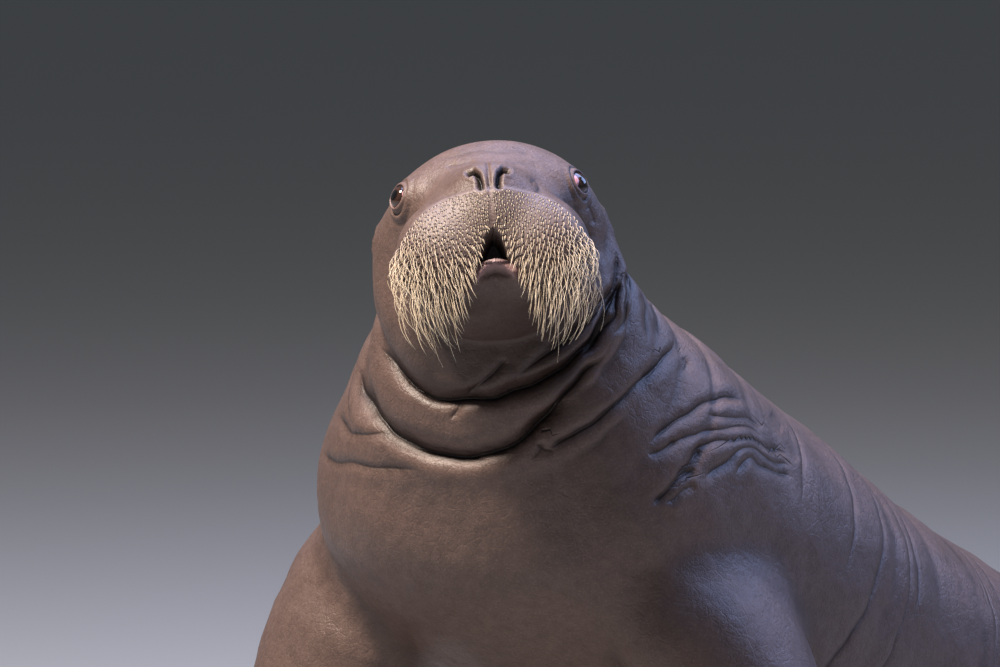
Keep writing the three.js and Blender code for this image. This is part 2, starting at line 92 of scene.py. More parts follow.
def bell(value, width):
    """exp(-(value / width)^2)."""
    return np.exp(-((value / width) ** 2))


# Eyeballs sit in the middles of the frame's two eye solids, and the head's directions are those of its solid
EYE_BALLS = {side: np.mean(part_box(f"eye_{side}"), axis=0) for side in ("left", "right")}
HEAD_PITCH = 26 * DEGREE
HEAD_ROLL = 4.5 * DEGREE
BOX_MIDDLE = np.array([280, 457, 0]) * MM  # the model's box stands over the origin
EYE_MIDDLE = np.array([0, -60, 947]) * MM - BOX_MIDDLE
FORWARD = np.array([0, -math.cos(HEAD_PITCH), math.sin(HEAD_PITCH)])
LEFT = np.array([math.cos(HEAD_ROLL), 0, math.sin(HEAD_ROLL)])
LEFT = unit(LEFT - FORWARD * LEFT.dot(FORWARD))
UP = np.cross(FORWARD, LEFT)
HEAD_AXES = np.stack([LEFT, FORWARD, UP])
VIEW_DROP = 5 * DEGREE  # how far the camera looks down
SIGHT = np.array([0, math.cos(VIEW_DROP), -math.sin(VIEW_DROP)])  # the way it looks
RISE = np.array([0, math.sin(VIEW_DROP), math.cos(VIEW_DROP)])  # up in its picture
CAMERA_DISTANCE = 8.0  # metres from the eye line

# Rounded masses of the head in millimetres: middle and half sizes in left, forward, up
PAD_AT, PAD_SIZE = (50, 57, -95), (60, 50, 62)
BLEND = 9 * MM
LOBES = [
    ((6, -46, -8), (112, 94, 84)),  # cranium
    ((4, -92, -52), (127, 72, 88)),  # jowls
    ((60, -84, -12), (80, 66, 62)),  # left ear region
    ((-56, -84, -22), (72, 66, 56)),  # right ear region
    ((0, 22, -40), (68, 70, 54)),  # bridge of the muzzle
    ((0, -16, -108), (88, 72, 58)),  # back of the jaw
    ((0, 78, -62), (34, 30, 34)),  # between the pads
    ((0, 66, -28), (36, 36, 32)),  # nose
    ((0, 26, -120), (36, 46, 32)),  # chin
]
for sign in (1, -1):
    LOBES.append(((sign * PAD_AT[0], PAD_AT[1], PAD_AT[2]), PAD_SIZE))
    LOBES.append(((sign * 78, -14, -2), (24, 34, 26)))  # mound round the eye

# Stations down the trunk in millimetres and degrees: middle, half width, height above and below,
# lean, heading
STATIONS = {
    "skull": (0, -72, 874, 80, 64, 64, 14, 0),
    "skull_base": (14, -14, 850, 140, 96, 112, 40, 3),
    "upper_neck": (24, 32, 795, 160, 130, 146, 52, 10),
    "lower_neck": (27, 82, 722, 200, 172, 190, 51, 21),
    "shoulder": (40, 148, 640, 258, 220, 240, 47, 31),
    "chest": (104, 248, 542, 278, 246, 256, 43, 37),
    "ribs": (206, 372, 444, 278, 254, 266, 39, 39),
    "belly": (322, 508, 350, 270, 240, 266, 31, 40),
    "loin": (450, 656, 278, 256, 216, 278, 21, 40),
    "hips": (580, 810, 224, 222, 184, 240, 18, 39),
    "rump": (692, 948, 168, 172, 142, 184, 21, 37),
    "tail_root": (778, 1058, 112, 110, 86, 118, 26, 35),
    "tail_tip": (822, 1120, 74, 48, 34, 46, 28, 34),
}
STATION_OF = {name: place for place, name in enumerate(STATIONS)}
SECTION_POWER = 2.15

# Soft rolls in the hide: station, depth and width in mm, middle and half spread of the angle round the body,
# and how far the ring leans: it lies at station + lean * cos(angle + 122 degrees).
# Angle 0 is the animal's left, 90 its back and -90 its throat.
ROLLS = [
    (1.25, 8, 12, -90, 200, 0.65),
    (2.00, 9, 13, -90, 200, 0.62),
    (2.75, 4, 10, 30, 130, 0.35),
    (3.35, 4, 10, 60, 120, 0.30),
    (3.95, 4, 10, 80, 120, 0.20),
    (4.55, 4, 10, 100, 90, 0.10),
    (5.05, 4, 10, 130, 90, 0.05),
    (5.50, 4, 10, 140, 90, 0.00),
    (5.95, 4, 10, 130, 90, 0.02),
    (6.45, 3, 11, 80, 110, 0.03),
    (7.00, 3, 11, 100, 110, -0.03),
    (7.60, 3, 12, 70, 100, 0.03),
    (8.40, 2, 13, 90, 100, 0.00),
    (9.30, 3, 13, 90, 110, 0.02),
    (10.0, 3, 12, 90, 110, -0.02),
    (10.6, 3, 11, 90, 110, 0.02),
]

# Folds and wrinkles as seen from in front: depth and width in mm, then a line of places in mm, left of the
# middle of the eye line and above it
FOLDS = [
    (9, 6.5, [(-127, -165), (-111, -186), (-89, -215), (-67, -231), (-45, -235), (-17, -235), (7, -233),
              (29, -226), (55, -215), (79, -202), (103, -183), (125, -160), (135, -135), (144, -118),
              (153, -96), (155, -70)]),
    (4, 4, [(31, -213), (60, -186), (89, -167), (113, -146), (133, -126), (142, -107), (147, -83),
            (146, -60)]),
    (10, 7, [(-152, -190), (-147, -209), (-137, -235), (-122, -257), (-100, -276), (-71, -294),
             (-41, -300), (-17, -299), (7, -294), (31, -284), (55, -265), (79, -246), (99, -222),
             (114, -202), (127, -189), (150, -160)]),
    (4, 4.5, [(66, -292), (83, -281), (103, -272), (128, -255), (157, -232), (185, -206), (206, -181),
              (214, -160)]),
    (2.5, 4, [(-191, -291), (-176, -302), (-146, -307), (-109, -313), (-80, -314)]),
    (2.5, 4, [(-170, -248), (-162, -262), (-154, -272), (-137, -272), (-112, -268)]),
    (2.5, 3.5, [(-26, -239), (-33, -248), (-41, -257)]),
    (3, 3.5, [(-23, -231), (-11, -219), (8, -204), (24, -188)]),
    (5, 4, [(163, -83), (162, -96), (161, -113), (158, -129), (155, -143), (140, -170)]),
    (5, 4, [(152, -100), (149, -113), (145, -129), (142, -143), (125, -165), (105, -188)]),
    (3, 3.5, [(177, -100), (179, -113), (183, -129), (182, -143), (186, -170)]),
    (3, 3.5, [(189, -118), (191, -133), (193, -143), (198, -165)]),
    (4, 4, [(138, -100), (133, -118), (120, -131), (106, -146), (88, -163), (60, -178)]),
    (3, 5.175, [(185, -285), (199, -271), (218, -255), (236, -245), (252, -235), (266, -229), (280, -229),
                (301, -238)]),
    (2.4, 4.6, [(250, -252), (267, -250), (284, -252), (301, -253), (318, -262)]),
    (2.4, 4.6, [(200, -290), (218, -279), (242, -271), (264, -267), (280, -263), (301, -264), (322, -274)]),
    (2.4, 4.6, [(185, -297), (206, -288), (218, -279)]),
    (3, 4.6, [(226, -306), (244, -288), (264, -279), (282, -278), (301, -277), (317, -281), (334, -288),
              (350, -296)]),
    (3, 4.6, [(218, -323), (236, -301), (247, -290)]),
    (3, 4.6, [(247, -323), (263, -312), (284, -292), (301, -288), (315, -295), (332, -301), (350, -306)]),
    (3, 4.6, [(282, -316), (291, -306), (301, -299), (312, -308), (332, -312), (352, -318)]),
    (4.2, 6.9, [(188, -356), (206, -336), (223, -323), (236, -312)]),
    (2.4, 4.6, [(204, -352), (223, -340), (238, -332)]),
    (1.2, 4.6, [(320, -244), (330, -254), (336, -266)]),
    (1.2, 4.6, [(340, -262), (348, -280), (356, -300)]),
    (2, 3, [(58, -284), (66, -290), (76, -292)]),
    (2, 3, [(62, -281), (61, -290), (54, -300)]),
    (2, 3, [(220, -184), (226, -190), (224, -200)]),
    (2.5, 2.6, [(98, -8), (103, -22), (112, -38), (120, -56)]),
    (2, 2.6, [(106, -4), (114, -20), (123, -40)]),
    (1.6, 2.4, [(46, 10), (54, 14), (58, 4), (54, -4)]),
    (1.2, 3, [(-60, 38), (-30, 47), (0, 50), (30, 47), (60, 40)]),
    (1.0, 3, [(-48, 28), (-30, 34), (-14, 36)]),
    (1.0, 3, [(18, 36), (40, 33), (60, 24)]),
]

# Limbs in millimetres: middle, half width and half thickness down each limb, then the flipper it carries
LIMBS = {
    "arm_left": {
        "line": [
            (176, 104, 520, 138, 90),
            (262, 60, 420, 132, 86),
            (320, 36, 310, 108, 74),
            (340, 10, 200, 84, 58),
            (350, -22, 106, 72, 46),
            (364, -48, 40, 74, 38),
        ],
        "across": (0.55, 0.8, 0),
        "wrist": (354, -38, 34),
        "toward": (0.86, -0.5, -0.09),
        "hand": 1,
    },
    "arm_right": {
        "line": [
            (-76, 256, 530, 138, 90),
            (-154, 256, 425, 132, 86),
            (-204, 244, 312, 108, 74),
            (-220, 214, 200, 84, 58),
            (-226, 178, 106, 72, 46),
            (-240, 150, 40, 74, 38),
        ],
        "across": (-0.55, 0.8, 0),
        "wrist": (-230, 160, 34),
        "toward": (-0.86, -0.5, -0.09),
        "hand": -1,
    },
    "leg_left": {
        "line": [
            (740, 912, 130, 96, 88),
            (822, 872, 92, 84, 66),
            (870, 826, 58, 66, 44),
            (890, 784, 36, 58, 32),
        ],
        "across": (0, 0, 1),
        "wrist": (884, 800, 28),
        "toward": (0.3, -0.95, -0.085),
        "hand": 1,
    },
    "leg_right": {
        "line": [
            (622, 1002, 130, 96, 88),
            (556, 1046, 92, 84, 66),
            (498, 1062, 58, 66, 44),
            (450, 1056, 36, 58, 32),
        ],
        "across": (0, 0, 1),
        "wrist": (466, 1059, 28),
        "toward": (-0.98, -0.15, -0.085),
        "hand": -1,
    },
}
FLIPPERS = {  # length, root and tip half widths, root and tip half thicknesses, corner, notch
    "arm": (240, 74, 112, 36, 13, -0.1, 0.06),
    "leg": (235, 60, 118, 30, 10, 0, 0.08),
}
DIGITS = 5


class WalrusSizes(bpy.types.PropertyGroup):
    """Sizes and colours that a user would change."""

    whisker_count: IntProperty(
        name="Whiskers", description="Whiskers on each side of the muzzle", default=560
    )
    whisker_length: FloatProperty(
        name="Whisker length", description="Longest whisker", default=0.074, unit="LENGTH"
    )
    whisker_width: FloatProperty(
        name="Whisker width", description="Thickness of a whisker at its root", default=0.0012, unit="LENGTH"
    )
    eye_radius: FloatProperty(
        name="Eye radius",
        description="Radius of the eyeball",
        default=float(np.ptp(np.array(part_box("eye_left"))[:, 2]) / 2),
        unit="LENGTH",
    )
    hide_colour: FloatVectorProperty(
        name="Hide", description="Main colour of the wet hide", subtype="COLOR", default=(0.085, 0.058, 0.05)
    )
    whisker_colour: FloatVectorProperty(
        name="Whiskers", description="Colour of the whiskers", subtype="COLOR", default=(0.55, 0.45, 0.33)
    )


def mesh_piece(name, points, faces, material):
    """A smooth object at the origin from an array of points and a list of faces, in the scene."""
    mesh = bpy.data.meshes.new(name)
    mesh.from_pydata(np.asarray(points).tolist(), [], faces)
    mesh.validate()
    mesh.polygons.foreach_set("use_smooth", [True] * len(mesh.polygons))
    piece = bpy.data.objects.new(name, mesh)
    bpy.context.scene.collection.objects.link(piece)
    if material:
        mesh.materials.append(material)
    return piece


def grid_faces(rows, around):
    """Quads of a grid of rows that closes on itself round each row."""
    row, step = np.meshgrid(np.arange(rows - 1), np.arange(around), indexing="ij")
    here = row * around + step
    beside = row * around + (step + 1) % around
    return np.stack([here, beside, beside + around, here + around], -1).reshape(-1, 4)


def face_outwards(piece, weld=0.0):
    """Turns all faces outwards, after welding points nearer to each other than the given distance."""
    shell = bmesh.new()
    shell.from_mesh(piece.data)
    if weld:
        bmesh.ops.remove_doubles(shell, verts=shell.verts, dist=weld)
    bmesh.ops.recalc_face_normals(shell, faces=shell.faces)
    shell.to_mesh(piece.data)
    shell.free()


def closed_tube(name, rows, material=None, fans=True):
    """A tube from a (rows, around, 3) array, closed by a fan at each end, or by its own flat edges."""
    count, around = rows.shape[:2]
    points = rows.reshape(-1, 3)
    faces = grid_faces(count, around).tolist()
    if fans:
        points = np.concatenate([points, rows[[0, -1]].mean(axis=1)])
        for end, first in ((0, 0), (1, (count - 1) * around)):
            for step in range(around):
                faces.append([first + step, first + (step + 1) % around, count * around + end])
    piece = mesh_piece(name, points, faces, material)
    face_outwards(piece, weld=1e-6)
    return piece


def through(values, place):
    """Catmull-Rom curve through the rows of values at a fractional row number:
    half of 2b + (c - a)t + (2a - 5b + 4c - d)t^2 + (3b - a - 3c + d)t^3, for rows a, b, c, d about it."""
    values = np.asarray(values, float)
    ends = 2 * values[[0, -1]] - values[[1, -2]]
    values = np.concatenate([ends[:1], values, ends[1:]])
    place = np.asarray(place, float)
    row = np.clip(np.floor(place).astype(int), 0, len(values) - 4)
    t = (place - row)[..., None]
    a, b, c, d = (values[row + k] for k in range(4))
    curved = (2 * a - 5 * b + 4 * c - d) * t**2 + (3 * b - a - 3 * c + d) * t**3
    return 0.5 * (2 * b + (c - a) * t + curved)


def in_head(points):
    """Left, forward and up from the middle of the eye line, in millimetres."""
    return (points - EYE_MIDDLE) @ HEAD_AXES.T / MM


def from_head(left, forward, up):
    """The point at left, forward, up millimetres from the middle of the eye line."""
    return EYE_MIDDLE + (np.stack(np.broadcast_arrays(left, forward, up), -1) * MM) @ HEAD_AXES


def lobe_sum(points):
    """Sum over the lobes of exp(-distance / BLEND): 1 on the skin of the head, more inside it."""
    total = 0
    for middle, size in LOBES:
        size = np.array(size) * MM
        away = (points - from_head(*middle)) @ HEAD_AXES.T
        reach = np.linalg.norm(away / size, axis=-1)
        total = total + np.exp(-(reach - 1) * size.min() / BLEND)
    return total


def skin_reach(origin, direction, radius):
    """Distance along each ray where lobe_sum + exp(-(distance - radius) / BLEND) falls to 1, by halving."""
    inside = np.zeros(direction.shape[:-1])
    outside = np.full(direction.shape[:-1], 0.4)
    for _ in range(24):
        reach = (inside + outside) / 2
        points = origin + direction * reach[..., None]
        within = lobe_sum(points) + np.exp(-(reach - radius) / BLEND) > 1
        inside = np.where(within, reach, inside)
        outside = np.where(within, outside, reach)
    return inside


def trunk_frame(station):
    """Middle, section sizes and the along, side and back directions of the trunk at station numbers."""
    values = through(list(STATIONS.values()), station)
    middle = values[..., :3] * MM - BOX_MIDDLE
    lean, heading = values[..., 6] * DEGREE, values[..., 7] * DEGREE
    level = np.cos(lean)
    along = np.stack([np.sin(heading) * level, np.cos(heading) * level, -np.sin(lean)], -1)
    side = np.stack([np.cos(heading), -np.sin(heading), 0 * heading], -1)
    roll = -HEAD_ROLL * np.clip(1 - np.asarray(station) / STATION_OF["lower_neck"], 0, 1)[..., None]
    side = side * np.cos(roll) + np.cross(along, side) * np.sin(roll)
    return middle, values[..., 3:6] * MM, along, side, np.cross(side, along)


def section_radius(size, angle):
    """Radius r of a section at an angle, from |cos/w|^p + |sin/h|^p = r^-p, with h above or below it."""
    height = np.where(np.sin(angle) > 0, size[..., 1], size[..., 2])
    across = np.abs(np.cos(angle) / size[..., 0])
    upright = np.abs(np.sin(angle) / height)
    return (across**SECTION_POWER + upright**SECTION_POWER) ** (-1 / SECTION_POWER)


SKULL_MIDDLE, _, SKULL_ALONG, SKULL_SIDE, SKULL_BACK = (part[0] for part in trunk_frame(np.zeros(1)))
CROWN = STATIONS["skull"][4] * MM


def face_ray(tilt, angle):
    """Unit ray from the skull's middle: -cos(tilt) along + sin(tilt)(cos(angle) side + sin(angle) back)."""
    tilt, angle = np.broadcast_arrays(tilt, angle)
    tilt, angle = tilt[..., None], angle[..., None]
    round_it = SKULL_SIDE * np.cos(angle) + SKULL_BACK * np.sin(angle)
    return round_it * np.sin(tilt) - SKULL_ALONG * np.cos(tilt)


def face_point(direction):
    """Where rays from the middle of the skull leave the skin."""
    return SKULL_MIDDLE + direction * skin_reach(SKULL_MIDDLE, direction, CROWN)[..., None]


def face_normal(points):
    """Way that the skin of the head faces: minus the slope of lobe_sum, by differences of 1 mm."""
    step = np.eye(3) * MM
    slope = [lobe_sum(points - way) - lobe_sum(points + way) for way in step]
    return unit(np.stack(slope, -1))


def ripple(points, scale, seed):
    """Smooth noise of about -1 to 1: a mean of six sine waves of random direction, phase and length."""
    draw = np.random.default_rng(seed)
    waves = unit(draw.normal(size=(6, 3))) * (2 * math.pi / scale) * draw.uniform(0.6, 1.5, (6, 1))
    return np.sin(points @ waves.T + draw.uniform(0, 2 * math.pi, 6)).mean(axis=-1) * 2


# Millimetres from one station to the next, at each station
PITCHES = np.linalg.norm(np.diff(np.array(list(STATIONS.values()))[:, :3], axis=0), axis=1)
PITCHES = np.append(PITCHES, PITCHES[-1])


RING_TILT = 122 * DEGREE  # turns the rings' lean round the body


def ring_distance(station, angle, at, lean, points):
    """Signed distance in mm along the body from a leaning, slightly wandering ring."""
    pitch = np.interp(station, np.arange(len(PITCHES)), PITCHES)
    wander = 4.0 * ripple(points, 0.2, 3) + 1.5 * ripple(points, 0.05, 4)
    return (station - at - lean * np.cos(angle + RING_TILT)) * pitch + wander


def ring_fade(angle, middle, spread):
    """1 on the middle of a ring's arc, fading to 0 at its ends."""
    turn = (angle / DEGREE - middle + 180) % 360 - 180
    return 1 - ease(0.5, 1, np.abs(turn) / spread)


def roll_depth(station, angle, points):
    """Depth of the rolls' grooves: each is depth * (0.5 exp(-(d/w)^2) + 0.5 exp(-(d/2w)^2)) at distance d."""
    total = 0
    for at, depth, width, middle, spread, lean in ROLLS:
        off = ring_distance(station, angle, at, lean, points)
        groove = 0.5 * bell(off, width) + 0.5 * bell(off, width * 2)
        total = total + depth * ring_fade(angle, middle, spread) * groove
    return total * MM


def wrinkle_rings():
    """Seeded short wrinkles of back and flanks: station, depth, middle and half spread of the angle, lean."""
    draw = np.random.default_rng(WRINKLE_SEED)
    rings = []
    for at in np.arange(1.6, 11.4, 0.155) + draw.uniform(-0.05, 0.05, 64):
        middle = draw.uniform(-10, 190)
        if 2.6 < at < 6.0:
            middle = draw.uniform(35, 190)
        lean = draw.uniform(-0.1, 0.45) if at < 4 else draw.uniform(-0.2, 0.2)
        rings.append((at, draw.uniform(1.0, 4.0), middle, draw.uniform(18, 58), lean))
    return rings


RING_LAYERS = 4  # neighbouring wrinkles are kept in different layers of the mesh


def ring_fields(points, grid, station, angle):
    """The shift of the ring wrinkles, and for each layer their signed distance and strength at the points.
    A point has the station and angle of the nearest place of the grid."""
    tree = KDTree(len(grid))
    for place, point in enumerate(grid):
        tree.insert(point, place)
    tree.balance()
    found = [tree.find(point) for point in points]
    nearest = np.array([hit[1] for hit in found])
    on_trunk = ease(0.014, 0.004, np.array([hit[2] for hit in found]))
    station, angle = station[nearest], angle[nearest]
    shift = np.zeros(len(points))
    distances = np.full((RING_LAYERS, len(points)), 99.0)
    strengths = np.zeros((RING_LAYERS, len(points)))
    for number, (at, depth, middle, spread, lean) in enumerate(wrinkle_rings()):
        layer = number % RING_LAYERS
        distance = ring_distance(station, angle, at, lean, points)
        faded = ring_fade(angle, middle, spread) * on_trunk * (station > 0.4)
        shift -= 0.4 * depth * faded * bell(distance, 6.0)
        closer = np.abs(distance) < np.abs(distances[layer])
        distances[layer] = np.where(closer, distance, distances[layer])
        apart = ease(26, 14, np.abs(distance))
        strengths[layer] = np.where(closer, apart * faded * depth / 7, strengths[layer])
    return shift * MM, distances, strengths


def line_distance(spots, line):
    """Signed distance from each spot to a curve through the line's places, and how far along it that is."""
    curve = through(line, np.linspace(0, len(line) - 1, 5 * len(line)))
    best = np.full(spots.shape[:-1], 1e3)
    nearest = np.zeros(spots.shape[:-1])
    for number, (start, end) in enumerate(zip(curve[:-1], curve[1:])):
        way = end - start
        away = spots - start
        t = np.clip(away @ way / way.dot(way), 0, 1)
        side = np.sign(way[0] * away[..., 1] - way[1] * away[..., 0])
        distance = side * np.linalg.norm(away - t[..., None] * way, axis=-1)
        closer = np.abs(distance) < np.abs(best)
        best = np.where(closer, distance, best)
        nearest = np.where(closer, (number + t) / (len(curve) - 1), nearest)
    return best, nearest


def seen_from_front(points):
    """Left and lift in mm on the plane of the eye line, as seen in perspective from the camera's distance."""
    away = points - EYE_MIDDLE
    scale = CAMERA_DISTANCE / (CAMERA_DISTANCE + away @ SIGHT) / MM
    return np.stack([away[..., 0] * scale, (away @ RISE) * scale], -1)


FOLD_LAYERS = 4  # neighbouring folds are kept in different layers of the mesh


def fold_fields(points, normals):
    """The folds' soft shift in metres, and for each layer the signed distance and strength of its folds.
    A fold is a groove, -depth exp(-(d/w)^2), between low rolls, +depth/3 exp(-((d - 2.5w)/1.6w)^2)."""
    spots = seen_from_front(points)
    facing = ease(0.02, 0.2, -(normals @ SIGHT))
    spots = spots + np.stack([2.0 * ripple(points, 0.06, 11), 2.0 * ripple(points, 0.06, 12)], -1)
    shift = np.zeros(len(points))
    distances = np.full((FOLD_LAYERS, len(points)), 99.0)
    strengths = np.zeros((FOLD_LAYERS, len(points)))
    for number, (depth, width, line) in enumerate(FOLDS):
        near = np.linalg.norm(spots - np.mean(line, axis=0), axis=-1) < np.ptp(line, axis=0).max() + 40
        distance, along = line_distance(spots[near], line)
        faded = ease(0, 0.16, along) * ease(1, 0.84, along) * facing[near]
        soft = max(width, 5.0)
        rolls = bell(np.abs(distance) - 2.5 * soft, 1.6 * soft) / 3
        shift[near] += 0.75 * depth * faded * (rolls - bell(distance, soft))
        layer = number % FOLD_LAYERS
        closer = np.abs(distance) < np.abs(distances[layer, near])
        distances[layer, near] = np.where(closer, distance, distances[layer, near])
        apart = ease(22, 12, np.abs(distance))
        strengths[layer, near] = np.where(closer, apart * faded * min(depth / 5, 1.3), strengths[layer, near])
    return shift * MM, distances, strengths


AROUND = 212  # points round each row of the hide, set closer towards the throat's left
CLOSER = 0.3  # share by which they are closer there and wider apart behind


def trunk_rows():
    """Rows of the hide from the middle of the muzzle to the tail: face rays first, then trunk sections.
    Returns them with the station and the angle of each place up to the rounded end."""
    turn = np.linspace(0, 2 * math.pi, AROUND, endpoint=False)
    angle = turn - CLOSER * np.sin(turn + 50 * DEGREE)
    tilt = np.linspace(0, 86 * DEGREE, 76)[1:]
    face = face_point(face_ray(tilt[:, None], angle[None, :]))
    station = np.concatenate([
        np.linspace(0, 3, 56),
        np.linspace(3, 7.5, 132)[1:],
        np.linspace(7.5, 12, 58)[1:],
    ])
    middle, size, along, side, back = (part[:, None] for part in trunk_frame(station))
    direction = side * np.cos(angle)[None, :, None] + back * np.sin(angle)[None, :, None]
    radius = section_radius(size, angle[None, :])
    near = station < STATION_OF["lower_neck"]
    reach = radius.copy()
    reach[near] = skin_reach(middle[near], direction[near], radius[near])
    points = middle + direction * reach[..., None]
    depth = roll_depth(station[:, None], angle[None, :], points)
    points = points - direction * depth[..., None]
    face_station = np.full(face.shape[:2], -1.0)
    stations = np.concatenate([face_station, np.broadcast_to(station[:, None], points.shape[:2])])
    angles = np.broadcast_to(angle, stations.shape)
    closing = np.linspace(0, 1, 8)[1:-1, None, None] * 90 * DEGREE
    end_middle, end_ring = middle[-1], points[-1]
    cap = end_middle + (end_ring - end_middle) * np.cos(closing) + along[-1] * 0.022 * np.sin(closing)
    return np.concatenate([face, points, cap]), stations.ravel(), angles.ravel()


def limb_rows(limb):
    """Rows of an oval carried down a limb's line: middle + wide cos(a) flat + thick sin(a) raised."""
    line = np.array(limb["line"], float)
    place = np.linspace(0, len(line) - 1, 52)
    values = through(line, place)
    middle = values[:, :3] * MM - BOX_MIDDLE
    along = unit(np.gradient(middle, axis=0))
    across = np.array(limb["across"], float)
    flat = unit(across - along * (along @ across)[:, None])
    raised = np.cross(along, flat)
    angle = np.linspace(0, 2 * math.pi, 64, endpoint=False)[None, :, None]
    wide, thick = values[:, 3, None, None] * MM, values[:, 4, None, None] * MM
    points = middle[:, None] + flat[:, None] * wide * np.cos(angle) + raised[:, None] * thick * np.sin(angle)
    sag = 0.003 * np.sin(place * 9 + 1)[:, None, None] * (0.4 + 0.6 * np.cos(angle * 2))
    return points - unit(points - middle[:, None]) * (np.abs(sag) + 0.001)


def flipper_frame(limb):
    """The flipper's wrist and its along, side and upright directions."""
    along = unit(np.array(limb["toward"], float))
    upright = unit(np.array([0, 0, 1.0]) - along * along[2])
    side = np.cross(along, upright) * limb["hand"]
    return np.array(limb["wrist"]) * MM - BOX_MIDDLE, along, side, upright


def flipper_point(limb, kind, t, across, rise):
    """A place in a flipper: t from wrist to edge, across from -1 to 1, rise from -1 under to 1 on top.
    Five ridges show the digits, and the edge is notched between them."""
    length, root_wide, tip_wide, root_thick, tip_thick, corner, notch = FLIPPERS[kind]
    wrist, along, side, upright = flipper_frame(limb)
    t, across, rise = np.broadcast_arrays(t, across, rise)
    between = 0.5 + 0.5 * np.cos(math.pi * DIGITS * (across + 1))
    reach = length * t * (1 + corner * across - notch * between * t * t)
    width = root_wide + (tip_wide - root_wide) * np.sin(t * math.pi / 2)
    closing = np.sqrt(np.clip(1 - (2 * t - 1) ** 10, 0, 1))
    thick = (root_thick + (tip_thick - root_thick) * t) * (1 - 0.3 * between * t) * closing
    parts = np.stack([reach, width * across, thick * rise], -1) * MM
    return wrist + parts @ np.stack([along, side, upright])


def flipper_rows(limb, kind):
    """Rows of the flipper's oval sections, a hair inside the solid."""
    t = np.concatenate([[0.0], 0.5 - 0.5 * np.cos(np.linspace(0.12, math.pi - 0.08, 44)), [1.0]])
    angle = np.linspace(0, 2 * math.pi, 96, endpoint=False)
    across, rise = np.cos(angle)[None, :] * 0.995, np.sin(angle)[None, :] * 0.98
    return flipper_point(limb, kind, t[:, None], across, rise)


def arrays_of(mesh):
    """The points and the edges of a mesh as arrays."""
    points = np.empty(len(mesh.vertices) * 3)
    mesh.vertices.foreach_get("co", points)
    edges = np.empty(len(mesh.edges) * 2, int)
    mesh.edges.foreach_get("vertices", edges)
    return points.reshape(-1, 3), edges.reshape(-1, 2)


def neighbour_mean(values, edges):
    """For each point, the mean of the values at the points that its edges lead to."""
    count = np.bincount(edges.ravel(), minlength=len(values))
    ends = np.concatenate([edges, edges[:, ::-1]])
    columns = [
        np.bincount(ends[:, 0], weights=values[ends[:, 1], k], minlength=len(values))
        for k in range(values.shape[1])
    ]
    return np.stack(columns, -1) / np.maximum(count, 1)[:, None]


def smooth_near(points, edges, weight, rounds):
    """Moves each point towards its neighbours' mean by its weight, many times over."""
    for _ in range(rounds):
        points = points + (neighbour_mean(points, edges) - points) * weight[:, None]
    return points


def seam_distance(mesh, points):
    """Distance of each point from the lines where two different pieces were joined."""
    edge_faces = {}
    for face in mesh.polygons:
        for key in face.edge_keys:
            edge_faces.setdefault(key, []).append(face.material_index)
    seam = {end for key, kinds in edge_faces.items() if len(set(kinds)) > 1 for end in key}
    tree = KDTree(len(seam))
    for place, index in enumerate(seam):
        tree.insert(points[index], place)
    tree.balance()
    return np.array([tree.find(point)[2] for point in points])


def join_skins(pieces):
    """One closed surface from overlapping ones, by union; each piece's faces keep a material index of their
    own, which marks the joins.
    """
    first = pieces[0]
    for number, piece in enumerate(pieces):
        for slot in range(len(pieces)):
            piece.data.materials.append(bpy.data.materials.new(f"join_{slot}"))
        piece.data.polygons.foreach_set("material_index", [number] * len(piece.data.polygons))
    for piece in pieces[1:]:
        union = first.modifiers.new("union", "BOOLEAN")
        union.operation = "UNION"
        union.solver = "MANIFOLD"
        union.object = piece
    joined = bpy.data.meshes.new_from_object(first.evaluated_get(bpy.context.evaluated_depsgraph_get()))
    for piece in pieces:
        bpy.data.objects.remove(piece)
    return joined


def edit_arrays(mesh, points):
    """Puts the points back into the mesh."""
    mesh.vertices.foreach_set("co", points.ravel())
    mesh.update()


def refine(mesh, centre, radius):
    """Halves the edges within a ball, so that its faces become smaller."""
    shell = bmesh.new()
    shell.from_mesh(mesh)
    points = np.array([v.co for v in shell.verts])
    near = np.linalg.norm(points - centre, axis=1) < radius
    edges = [e for e in shell.edges if near[e.verts[0].index] and near[e.verts[1].index]]
    bmesh.ops.subdivide_edges(shell, edges=edges, cuts=1, use_grid_fill=True)
    shell.to_mesh(mesh)
    shell.free()


# Places on the face as seen from in front, in millimetres: left of the middle and above the eye line
NOSTRIL_CURVE = [(22, 22), (17, 24), (12.5, 20), (10.5, 12), (10, 4)]
MOUTH_TOP, MOUTH_BOTTOM, MOUTH_HALF = -42, -80, 19
PAD_BORDER = [(0, 3), (20, 3), (37, -1), (52, -5), (71, -14), (87, -28), (97, -42), (107, -60)]
EYE_APERTURE = 12.5
RIM_HEIGHT = 12.4  # how far the lid's rim stands out from the eye's middle

# Left, forward and up in the head: two places with a finer mesh, and the ways that the left eye and ear look
NOSE_AT, LIPS_AT = (0, 92, -6), (0, 95, -108)
EYE_LOOK, EAR_LOOK = (0.78, 0.6, 0.16), (1, -0.25, 0.12)


def side_axes(side, look):
    """1 for left or -1 for right, and the directions out of that side's eye or ear, across it and up it."""
    sign = 1 if side == "left" else -1
    out = unit(HEAD_AXES.T @ (np.array(look) * (sign, 1, 1)))
    across = unit(np.cross(UP, out))
    return sign, out, across, np.cross(out, across)


def curve_distance(left, lift, curve):
    """Distance from each (left, lift) to a bent line through the curve's points."""
    spot = np.stack([left, lift], -1)
    best = np.full(left.shape, 1e3)
    for start, end in zip(np.array(curve[:-1], float), np.array(curve[1:], float)):
        way = end - start
        t = np.clip((spot - start) @ way / way.dot(way), 0, 1)
        best = np.minimum(best, np.linalg.norm(spot - start - t[..., None] * way, axis=-1))
    return best


